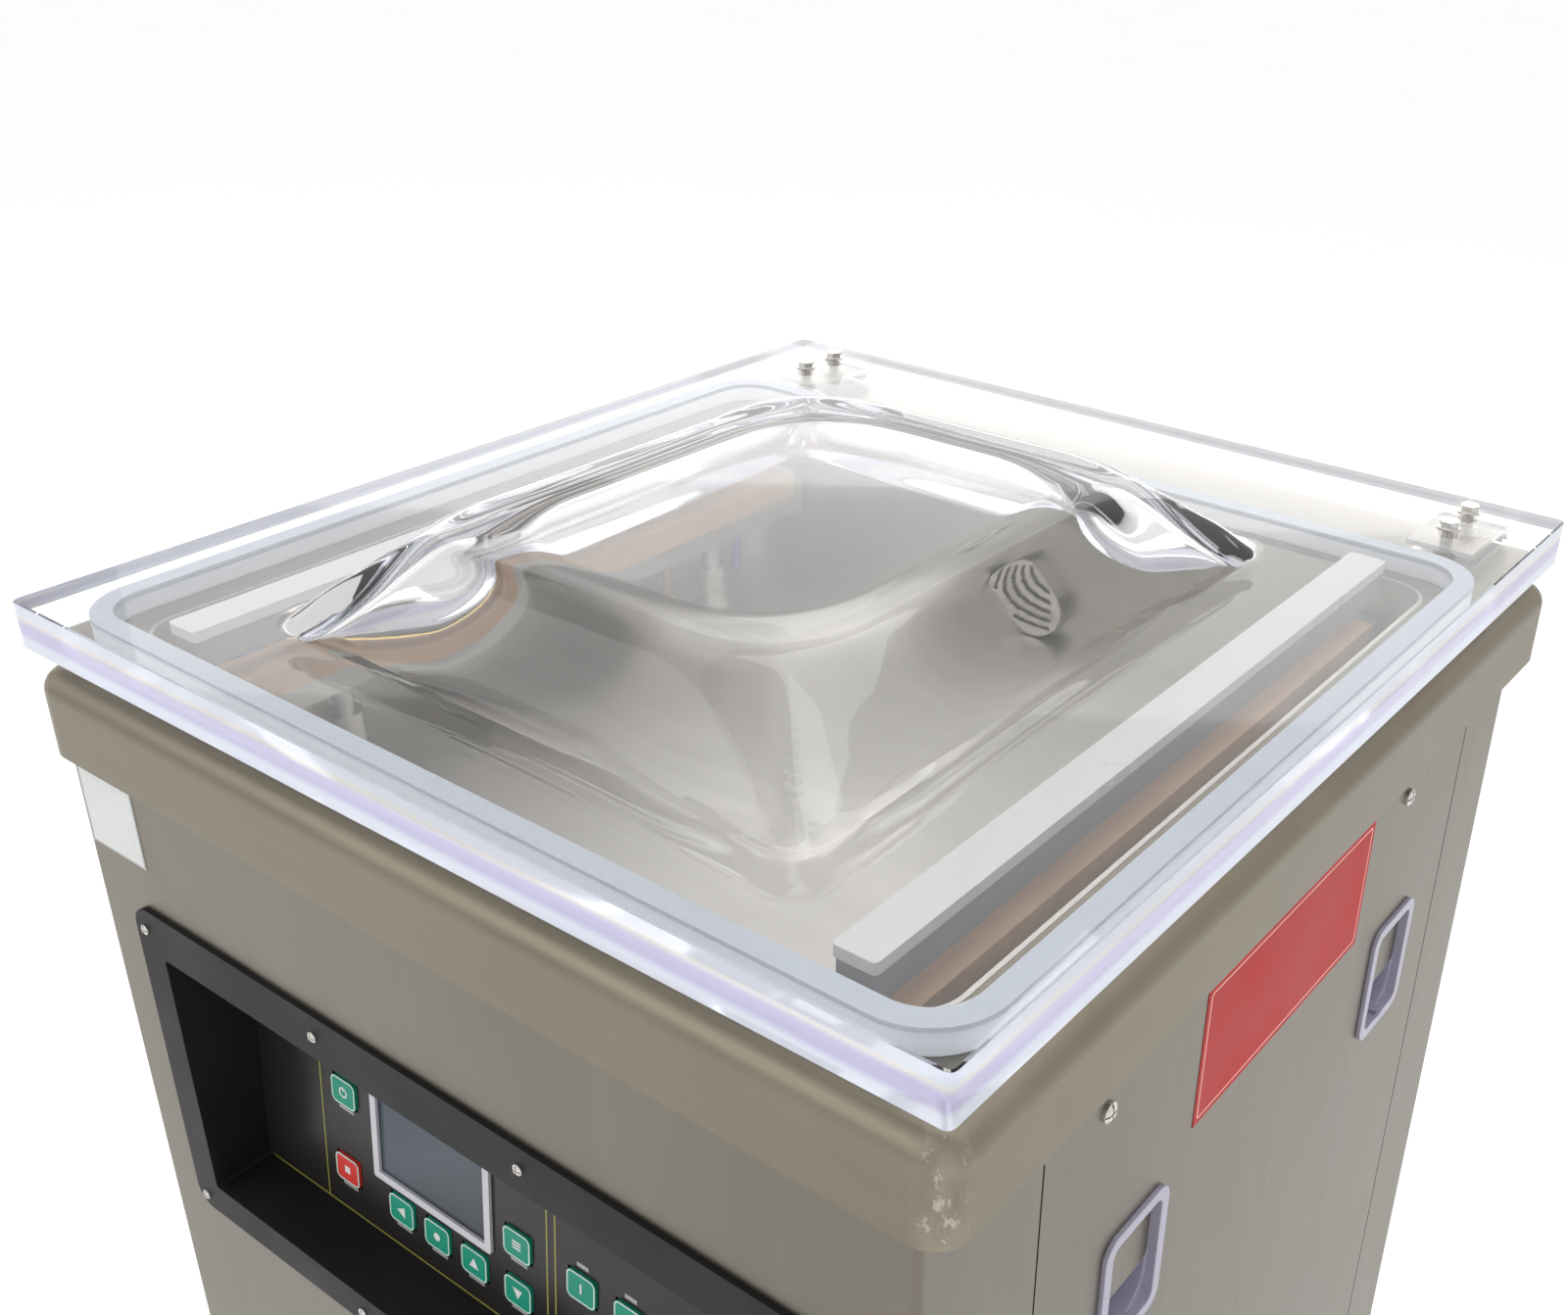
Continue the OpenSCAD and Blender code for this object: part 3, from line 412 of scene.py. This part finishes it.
def rounded(w, d, r, cx=0.0, cy=0.0, steps=6):
    """Outline of a rounded rectangle, anticlockwise."""
    x, y = w / 2 - r, d / 2 - r
    return (arc(cx + x, cy + y, r, 0, 90, steps) + arc(cx - x, cy + y, r, 90, 180, steps)
            + arc(cx - x, cy - y, r, 180, 270, steps) + arc(cx + x, cy - y, r, 270, 360, steps))


def loft(bm, rings, cap=True, index=0):
    """Skin over rings of the same number of points; each ring is a list of 3-D points."""
    made = [[bm.verts.new(p) for p in ring] for ring in rings]
    for a, b in zip(made, made[1:]):
        for i in range(len(a)):
            j = (i + 1) % len(a)
            bm.faces.new((a[i], a[j], b[j], b[i])).material_index = index
    if cap:
        bm.faces.new(list(reversed(made[0]))).material_index = index
        bm.faces.new(made[-1]).material_index = index


def slab(bm, outline, low, high, place=Matrix(), chamfer=0.0, index=0):
    """Flat shape on a local plane: outline in (x, z), thickness along local -y, front edge chamfered."""
    n = len(outline)
    cx, cz = sum(p[0] for p in outline) / n, sum(p[1] for p in outline) / n

    def ring(depth, inset):
        points = []
        for x, z in outline:
            reach = math.hypot(x - cx, z - cz) or 1.0
            k = max(0.0, 1 - inset / reach)
            points.append(place @ Vector((cx + (x - cx) * k, -depth, cz + (z - cz) * k)))
        return points

    rings = [ring(low, 0), ring(high - chamfer, 0)]
    if chamfer:
        rings.append(ring(high, chamfer))
    loft(bm, rings, index=index)


def frame_slab(bm, outer, inner, low, high, place=Matrix(), index=0):
    """Flat ring between two outlines that have the same number of points."""
    loops = [(outer, low), (outer, high), (inner, high), (inner, low), (outer, low)]
    loft(bm, [[place @ Vector((x, -y, z)) for x, z in line] for line, y in loops], cap=False, index=index)


def revolve(bm, profile, place, steps=64, index=0):
    """Solid of revolution about local y: profile is a closed list of (radius, y)."""
    turns = [2 * math.pi * i / steps for i in range(steps)]
    closed = profile + profile[:1]
    rings = [[place @ Vector((r * math.cos(t), y, r * math.sin(t))) for t in turns] for r, y in closed]
    loft(bm, rings, cap=False, index=index)


# ---------- lid: one clear sheet drawn up into a dome ----------
def outline_gap(x, y, w, d, r):
    """Signed distance from a point to a rounded rectangle round the origin, negative inside."""
    qx, qy = abs(x) - (w / 2 - r), abs(y) - (d / 2 - r)
    return math.hypot(max(qx, 0), max(qy, 0)) + min(max(qx, qy), 0) - r


def dome_share(x, y, base, plateau):
    """0 at the dome's foot, 1 on its plateau, with the sides drawn in a little between the corners."""
    y = y - DOME_Y
    (bw, bd, br), (pw, pd, pr) = base, plateau
    bow = 0.04
    x = x * (1 + bow * max(0.0, 1 - (2 * y / bd) ** 2))
    y = y * (1 + bow * max(0.0, 1 - (2 * x / bw) ** 2))
    foot = -outline_gap(x, y, bw, bd, br)
    brow = outline_gap(x, y, pw, pd, pr)
    if foot <= 0:
        return 0.0
    if brow <= 0:
        return 1.0
    t = foot / (foot + brow)
    foot_softness = 1.15
    return math.sin(t * math.pi / 2) ** foot_softness


def build_lid():
    half_x, half_y = (LID_HI.x - LID_LO.x) / 2, (LID_HI.y - LID_LO.y) / 2
    corner, arris, step = 3 * MM, 0.7 * MM, 3 * MM
    rise = LID_HI.z - LID_TOP
    CLEAR, CUT_EDGE = 0, 1
    sunk = LID_LO.z - 0.15 * MM  # the underside meets what is glued to it

    def lines(half):
        n = round(2 * (half - corner) / step)
        inner = [-half + corner + 2 * (half - corner) * i / n for i in range(n + 1)]
        return [-half, -half + corner / 2] + inner + [half - corner / 2, half]

    def settle(x, y, inset):
        """Pulls a grid point on to the sheet's rounded corners, inset by so much."""
        x, y = x * (half_x - inset) / half_x, y * (half_y - inset) / half_y
        ex, ey = abs(x) - (half_x - corner), abs(y) - (half_y - corner)
        if ex > 0 and ey > 0:
            k = max(ex, ey) / math.hypot(ex, ey)
            x, y = math.copysign(half_x - corner + ex * k, x), math.copysign(half_y - corner + ey * k, y)
        return x, y

    xs, ys = lines(half_x), lines(half_y)
    bm = bmesh.new()

    def face_grid(height):
        return [[bm.verts.new((*settle(x, y, arris), height(x, y))) for y in ys] for x in xs]

    top = face_grid(lambda x, y: LID_TOP + rise * dome_share(x, y, DOME_BASE, DOME_PLATEAU))
    hollow = rise + LID_T - DOME_WALL
    low = face_grid(lambda x, y: sunk + hollow * dome_share(x, y, HOLLOW_BASE, HOLLOW_PLATEAU))
    for grid in (top, low):
        for i in range(len(xs) - 1):
            for j in range(len(ys) - 1):
                bm.faces.new((grid[i][j], grid[i + 1][j], grid[i + 1][j + 1], grid[i][j + 1]))
    nx, ny = len(xs), len(ys)
    rim = ([(i, 0) for i in range(nx)] + [(nx - 1, j) for j in range(1, ny)]
           + [(i, ny - 1) for i in range(nx - 2, -1, -1)] + [(0, j) for j in range(ny - 2, 0, -1)])
    upper = [bm.verts.new((*settle(xs[i], ys[j], 0), LID_TOP - arris)) for i, j in rim]
    lower = [bm.verts.new((*settle(xs[i], ys[j], 0), sunk + arris)) for i, j in rim]
    bands = [[top[i][j] for i, j in rim], upper, lower, [low[i][j] for i, j in rim]]
    for band, (a, b) in enumerate(zip(bands, bands[1:])):
        for i in range(len(rim)):
            j = (i + 1) % len(rim)
            bm.faces.new((a[i], a[j], b[j], b[i])).material_index = CUT_EDGE if band == 1 else CLEAR
    return piece("lid_sheet", bm, [MATS["acrylic"], EDGE], "lid", angle=30, replaces=["lid"])


build_lid()


def build_gasket():
    """Silicone band under the lid, with softened arrises where it meets the deck."""
    lo, hi = (Vector(p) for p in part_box("gasket"))
    band, arris, radius = 9.5 * MM, 1.2 * MM, 30 * MM
    section = [(arris, lo.z), (0, lo.z + arris), (0, hi.z),
               (band, hi.z), (band, lo.z + arris), (band - arris, lo.z)]
    width, depth, middle_y = hi.x - lo.x, hi.y - lo.y, (lo.y + hi.y) / 2
    rings = []
    for inset, z in section + section[:1]:
        line = rounded(width - 2 * inset, depth - 2 * inset, radius - inset, 0, middle_y, 12)
        rings.append([(x, y, z) for x, y in line])
    bm = bmesh.new()
    loft(bm, rings, cap=False)
    piece("gasket_band", bm, MATS["silicone_seal"], "lid", replaces=["gasket"])


build_gasket()


# ---------- control panel print ----------
def on_plate(node):
    """A node's middle across and up the plate."""
    p = PLATE.inverted() @ centre(node)
    return p.x, p.z


def shifted(points, x, z, k=1.0):
    return [(x + k * px, z + k * pz) for px, pz in points]


def arrow(turn):
    """Triangle pointing up, turned anticlockwise by so many degrees."""
    c, s = math.cos(math.radians(turn)), math.sin(math.radians(turn))
    return [(c * x - s * z, s * x + c * z) for x, z in ((-1, -0.8), (1, -0.8), (0, 1))]


def bar(x0, z0, x1, z1):
    return [(x0, z0), (x1, z0), (x1, z1), (x0, z1)]


# Icon shapes round each key's middle, in units of ICON
ICONS = {
    "key_power": [bar(-0.16, 0.25, 0.16, 1.05)],
    "key_stop": [bar(-0.62, -0.62, 0.62, 0.62)],
    "key_left": [arrow(90)],
    "key_centre": [arc(0, 0, 0.7, 0, 345, 23)],
    "key_right": [arrow(0)],
    "key_set": [bar(-0.9, 0.42, 0.9, 0.72), bar(-0.9, -0.15, 0.9, 0.15), bar(-0.9, -0.72, 0.9, -0.42)],
    "key_down": [arrow(180)],
    "key_p1": [bar(-0.16, -0.9, 0.16, 0.9)],
    "key_p2": [bar(-0.5, -0.9, -0.18, 0.9), bar(0.18, -0.9, 0.5, 0.9)],
}
ICON = 3 * MM
KEY_FACE = 1.3 * MM
KEY_W, KEY_H, KEY_R = 17 * MM, 15 * MM, 3 * MM
RIM_W = 0.9 * MM

for key, shapes in ICONS.items():
    kx, kz = on_plate(key)
    bm = bmesh.new()
    frame_slab(bm, rounded(KEY_W - 0.2 * MM, KEY_H - 0.2 * MM, KEY_R, kx, kz),
               rounded(KEY_W - 2 * RIM_W, KEY_H - 2 * RIM_W, KEY_R - RIM_W, kx, kz),
               KEY_FACE - 0.1 * MM, KEY_FACE + 0.12 * MM, PLATE)
    piece(key + "_rim", bm, KEY_RIM, key)
    bm = bmesh.new()
    for shape in shapes:
        slab(bm, shifted(shape, kx, kz, ICON), KEY_FACE - 0.05 * MM, KEY_FACE + 0.1 * MM, PLATE, 0.03 * MM)
    if key == "key_power":
        frame_slab(bm, shifted(arc(0, 0, 0.95, 115, 425, 30), kx, kz, ICON),
                   shifted(arc(0, 0, 0.68, 115, 425, 30), kx, kz, ICON),
                   KEY_FACE - 0.05 * MM, KEY_FACE + 0.1 * MM, PLATE)
    piece(key + "_icon", bm, PALE_INK, key)

# Plain bars stand where the captions are: under each key, or over the two programme keys.
# Half width, half height and distance up the plate from the key's middle.
CAPTION_OVER = (3.4 * MM, 1.1 * MM, 11.2 * MM)
CAPTION_UNDER = (5.2 * MM, 0.7 * MM, -10.4 * MM)
PRINT_LOW, PRINT_HIGH = -0.05 * MM, 0.07 * MM
bm = bmesh.new()
for key in ICONS:
    kx, kz = on_plate(key)
    over = key in ("key_p1", "key_p2")
    half_w, half_h, away = CAPTION_OVER if over else CAPTION_UNDER
    slab(bm, shifted(bar(-half_w, -half_h, half_w, half_h), kx, kz + away), PRINT_LOW, 0.08 * MM, PLATE)
piece("caption_bars", bm, GREY_INK, "cabinet")

PLATE_HALF_W = (PLATE_HI.x - PLATE_LO.x) / 2
PLATE_LEN = (PLATE_HI.z - PLATE_LO.z) / math.cos(PANEL_TILT) - PLATE_T * math.sin(PANEL_TILT)
LINE_HALF = 0.35 * MM
LINES_ACROSS = (-135.5 * MM, 17.3 * MM, 22.4 * MM)
LINES_UP = (2.2 * MM, PLATE_LEN - 3 * MM)
bm = bmesh.new()
for x in LINES_ACROSS:
    slab(bm, bar(x - LINE_HALF, 1.5 * MM, x + LINE_HALF, PLATE_LEN - 4 * MM), PRINT_LOW, PRINT_HIGH, PLATE)
line_end = PLATE_HALF_W - 4 * MM
for z in LINES_UP:
    slab(bm, bar(-line_end, z - LINE_HALF, line_end, z + LINE_HALF), PRINT_LOW, PRINT_HIGH, PLATE)
piece("plate_lines", bm, LINE_INK, "cabinet")


# ---------- gauge: card, glass and figures ----------
def figure(text, size):
    """Flat outline mesh of a short number, centred on the origin of its own plane."""
    curve = bpy.data.curves.new("figure_" + text, "FONT")
    curve.body = text
    curve.size = size
    curve.align_x = "CENTER"
    curve.align_y = "CENTER"
    curve.extrude = 0.04 * MM
    holder = bpy.data.objects.new("figure_" + text, curve)
    scene.collection.objects.link(holder)
    bpy.context.view_layer.update()
    mesh = bpy.data.meshes.new_from_object(holder.evaluated_get(bpy.context.evaluated_depsgraph_get()))
    bpy.data.objects.remove(holder)
    return mesh


GAUGE_X = centre("gauge_case").x
GAUGE_UP = 60 * MM
GAUGE = PLATE @ Matrix.Translation((GAUGE_X, 0, GAUGE_UP))
DIAL_R = 24.3 * MM
SWEEP_START, SWEEP = 225, 270

CARD_BACK, CARD_FACE, CARD_HUB = -0.05 * MM, -0.7 * MM, 1.8 * MM
card = [(0.0, CARD_BACK), (DIAL_R, CARD_BACK), (DIAL_R, -0.5 * MM), (DIAL_R - 0.3 * MM, CARD_FACE),
        (CARD_HUB, CARD_FACE), (CARD_HUB, -0.3 * MM), (0.0, -0.3 * MM)]
bm = bmesh.new()
revolve(bm, card, GAUGE)
piece("gauge_card", bm, DIAL_WHITE, "cabinet")

TICKS, TICKS_PER_LONG, TICK_R = 50, 5, 21 * MM
FIGURE_R, FIGURE_SIZE = 13.2 * MM, 4.2 * MM
bm = bmesh.new()
for i in range(TICKS + 1):
    t = math.radians(SWEEP_START - SWEEP * i / TICKS)
    start_r, w = (16.5 * MM, 0.35 * MM) if i % TICKS_PER_LONG == 0 else (18.6 * MM, 0.15 * MM)
    c, s = math.cos(t), math.sin(t)
    corners = ((start_r, -w), (TICK_R, -w), (TICK_R, w), (start_r, w))
    slab(bm, [(c * r - s * k, s * r + c * k) for r, k in corners], 0.65 * MM, 0.76 * MM, GAUGE)
for i in range(0, 11, 2):
    t = math.radians(SWEEP_START - SWEEP * i / 10)
    number = figure(str(i), FIGURE_SIZE)
    spot = Matrix.Translation((FIGURE_R * math.cos(t), -0.72 * MM, FIGURE_R * math.sin(t)))
    number.transform(GAUGE @ spot @ Matrix.Rotation(math.pi / 2, 4, "X"))
    bm.from_mesh(number)
    bpy.data.meshes.remove(number)
piece("gauge_figures", bm, BLACK_INK, "cabinet")

WINDOW_BACK = -5.2 * MM
window = [(0.0, WINDOW_BACK), (DIAL_R, WINDOW_BACK), (DIAL_R, -6.0 * MM), (DIAL_R * 0.6, -6.5 * MM),
          (0.0, -6.7 * MM)]
bm = bmesh.new()
revolve(bm, window, GAUGE)
glass = Finish("gauge_glass", (0.97, 0.98, 0.97), rough=0.02, Transmission_Weight=1.0, IOR=1.5)
glass.gloss(glass.noise((90, 90, 90), detail=3), 0.01, 0.05)
piece("gauge_window", bm, glass.mat, "cabinet")


# ---------- red plate and blank sticker ----------
def upright(x, y, z, side):
    """Places local (x, z) on a face that looks along +X, -Y or -X."""
    turn = {"+x": 90, "-y": 0, "-x": -90}[side]
    return Matrix.Translation((x, y, z)) @ Matrix.Rotation(math.radians(turn), 4, "Z")


label_lo, label_hi = (Vector(p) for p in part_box("side_label"))
label_w, label_h = label_hi.y - label_lo.y, label_hi.z - label_lo.z
LABEL = upright(label_hi.x, centre("side_label").y, centre("side_label").z, "+x")
bm = bmesh.new()
frame_slab(bm, rounded(label_w - 5 * MM, label_h - 5 * MM, 2 * MM),
           rounded(label_w - 6.6 * MM, label_h - 6.6 * MM, 1.4 * MM), -0.05 * MM, 0.06 * MM, LABEL)
piece("label_border", bm, RED_RULE, "cabinet")

sticker_lo, sticker_hi = (Vector(p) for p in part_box("front_sticker"))
sticker_w = sticker_hi.x - sticker_lo.x
STICKER = upright(centre("front_sticker").x, sticker_lo.y, centre("front_sticker").z, "-y")
bm = bmesh.new()
frame_slab(bm, rounded(sticker_w - 0.4 * MM, sticker_w - 0.4 * MM, 1.5 * MM),
           rounded(sticker_w - 1.6 * MM, sticker_w - 1.6 * MM, 1 * MM), -0.05 * MM, 0.03 * MM, STICKER)
piece("sticker_edge", bm, GREY_INK, "cabinet")


# ---------- steel plates inside the flush handles ----------
grip_lo, grip_hi = (Vector(p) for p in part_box("flush_handles"))
GRIP_W, GRIP_PROUD, GRIP_RECESS = 49 * MM, 2 * MM, 2.5 * MM
INSERT_W, INSERT_H, INSERT_R, INSERT_UP = 37.2 * MM, 33.6 * MM, 4 * MM, 10.6 * MM
INSERT_BACK, INSERT_FACE = -GRIP_RECESS - 0.05 * MM, -GRIP_RECESS + 0.3 * MM
for side, face_x, name in (("+x", grip_hi.x - GRIP_PROUD, "handle_plates_right"),
                           ("-x", grip_lo.x + GRIP_PROUD, "handle_plates_left")):
    bm = bmesh.new()
    for y in (grip_lo.y + GRIP_W / 2, grip_hi.y - GRIP_W / 2):
        place = upright(face_x, y, (grip_lo.z + grip_hi.z) / 2, side)
        outline = rounded(INSERT_W, INSERT_H, INSERT_R, 0, INSERT_UP)
        slab(bm, outline, INSERT_BACK, INSERT_FACE, place, 0.2 * MM)
    piece(name, bm, MATS["stainless_panel"], "cabinet")


# ---------- caster wheels: tyre and hub ----------
def build_wheel(corner):
    """A crowned rubber tyre on a dished nylon hub with six webs."""
    node = "wheel_" + corner
    lo, hi = (Vector(p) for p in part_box(node))
    axle = (lo + hi) / 2
    r, half = (hi.z - lo.z) / 2, (hi.x - lo.x) / 2
    tread = half - 3 * MM
    turned = Matrix.Translation(axle) @ Matrix.Rotation(math.pi / 2, 4, "Z")
    bm = bmesh.new()
    crown = [(r - 1.2 * MM * (k / 6) ** 2, tread * k / 6) for k in range(-6, 7)]
    shoulder = [(r - 2.4 * MM, tread + 1.6 * MM), (r - 5 * MM, tread + 2.4 * MM),
                (r - 9 * MM, tread + 1.4 * MM)]
    side = [(a, -b) for a, b in reversed(shoulder)]
    revolve(bm, side + crown + shoulder, turned, 96)
    piece("tyre_" + corner, bm, MATS["caster_tyre"], node, replaces=[node])
    bm = bmesh.new()
    disc = [(r - 8.9 * MM, half - 4.5 * MM), (r - 11 * MM, half - 5 * MM), (r - 13 * MM, 3 * MM),
            (12 * MM, 3 * MM), (11 * MM, half - 1 * MM), (7 * MM, half), (4.1 * MM, half)]
    revolve(bm, disc + [(a, -b) for a, b in reversed(disc)], turned, 96)
    webs, web_root, web_end = 6, 11 * MM, r - 12 * MM
    for i in range(webs):
        t = 2 * math.pi * i / webs
        c, s = math.cos(t), math.sin(t)
        corners = ((web_root, -1.6 * MM), (web_end, -1.2 * MM), (web_end, 1.2 * MM), (web_root, 1.6 * MM))
        web = [(c * q - s * k, s * q + c * k) for q, k in corners]
        slab(bm, web, -half + 6 * MM, half - 6 * MM, turned)
    piece("hub_" + corner, bm, HUB, node)


for corner_name in ("front_left", "front_right", "rear_left", "rear_right"):
    build_wheel(corner_name)


# ---------- stage, light and camera ----------
def build_floor():
    """A wide pale floor, a little uneven in tone, that reaches past the horizon of the picture."""
    bm = bmesh.new()
    sides = 96
    turns = [2 * math.pi * i / sides for i in range(sides)]
    radii = (0.2, 1.0, 4.0, 12.0, 40.0)
    made = [[bm.verts.new((r * math.cos(t), r * math.sin(t), 0.0)) for t in turns] for r in radii]
    bm.faces.new(made[0])
    for a, b in zip(made, made[1:]):
        for i in range(sides):
            j = (i + 1) % sides
            bm.faces.new((a[i], b[i], b[j], a[j]))
    mesh = bpy.data.meshes.new("floor")
    bm.to_mesh(mesh)
    bm.free()
    f = Finish("pale_floor", (0.985, 0.985, 0.985), rough=0.7)
    f.shade(f.noise((2, 2, 2), detail=3), 0.995, 1.005)
    mesh.materials.append(f.mat)
    made_floor = bpy.data.objects.new("floor", mesh)
    scene.collection.objects.link(made_floor)


def area_light(name, place, target, size, power):
    """Rectangular softbox aimed at a point."""
    data = bpy.data.lights.new(name, "AREA")
    data.shape = "RECTANGLE"
    data.size, data.size_y = size
    data.energy = power
    lamp = bpy.data.objects.new(name, data)
    lamp.location = place
    lamp.rotation_euler = (Vector(target) - Vector(place)).to_track_quat("-Z", "Y").to_euler()
    scene.collection.objects.link(lamp)


build_floor()
world = bpy.data.worlds.new("studio")
world.use_nodes = True
world.node_tree.nodes["Background"].inputs["Color"].default_value = (1.0, 0.995, 0.985, 1)
world.node_tree.nodes["Background"].inputs["Strength"].default_value = 1.0
scene.world = world
scene.view_settings.view_transform = "Standard"
middle = (0, 0, 0.8)
area_light("key", (-1.8, -2.6, 2.8), middle, (3.0, 2.4), 24)
area_light("fill", (2.8, -1.2, 1.8), middle, (2.0, 2.0), 0.4)
area_light("top", (0.2, 1.0, 3.0), middle, (2.6, 1.6), 24)
# A wall of light behind the lid in three bands: bottom, top and how bright, weaker as it rises
BACK_WIDTH = 3.4
for low, high, radiance in ((1.0, 1.5, 2.4), (1.5, 1.95, 1.3), (1.95, 2.4, 0.6)):
    tall = high - low
    level = (low + high) / 2
    power = radiance * math.pi * BACK_WIDTH * tall
    area_light("back_%d" % round(level * 100), (-1.5, 2.1, level), (0, 0, level), (BACK_WIDTH, tall), power)

YAW, PITCH, ROLL = (math.radians(a) for a in (36.08, 28.08, 1.36))
EYE = (0.4415, -0.5558, DECK_Z + 0.3346)
FOCAL_LENGTH, SENSOR = 38.67885, 36.0
forward = Vector((-math.sin(YAW) * math.cos(PITCH), math.cos(YAW) * math.cos(PITCH), -math.sin(PITCH)))
right = Vector((math.cos(YAW), math.sin(YAW), 0))
up = right.cross(forward)
tilted_right = right * math.cos(ROLL) + up * math.sin(ROLL)
tilted_up = -right * math.sin(ROLL) + up * math.cos(ROLL)
lens = bpy.data.cameras.new("camera")
lens.sensor_width = SENSOR
lens.lens = FOCAL_LENGTH
lens.shift_x, lens.shift_y = -0.0795, 0.0304
camera = bpy.data.objects.new("camera", lens)
turned = Matrix((tilted_right, tilted_up, -forward)).transposed().to_4x4()
camera.matrix_world = Matrix.Translation(EYE) @ turned
scene.collection.objects.link(camera)
scene.camera = camera
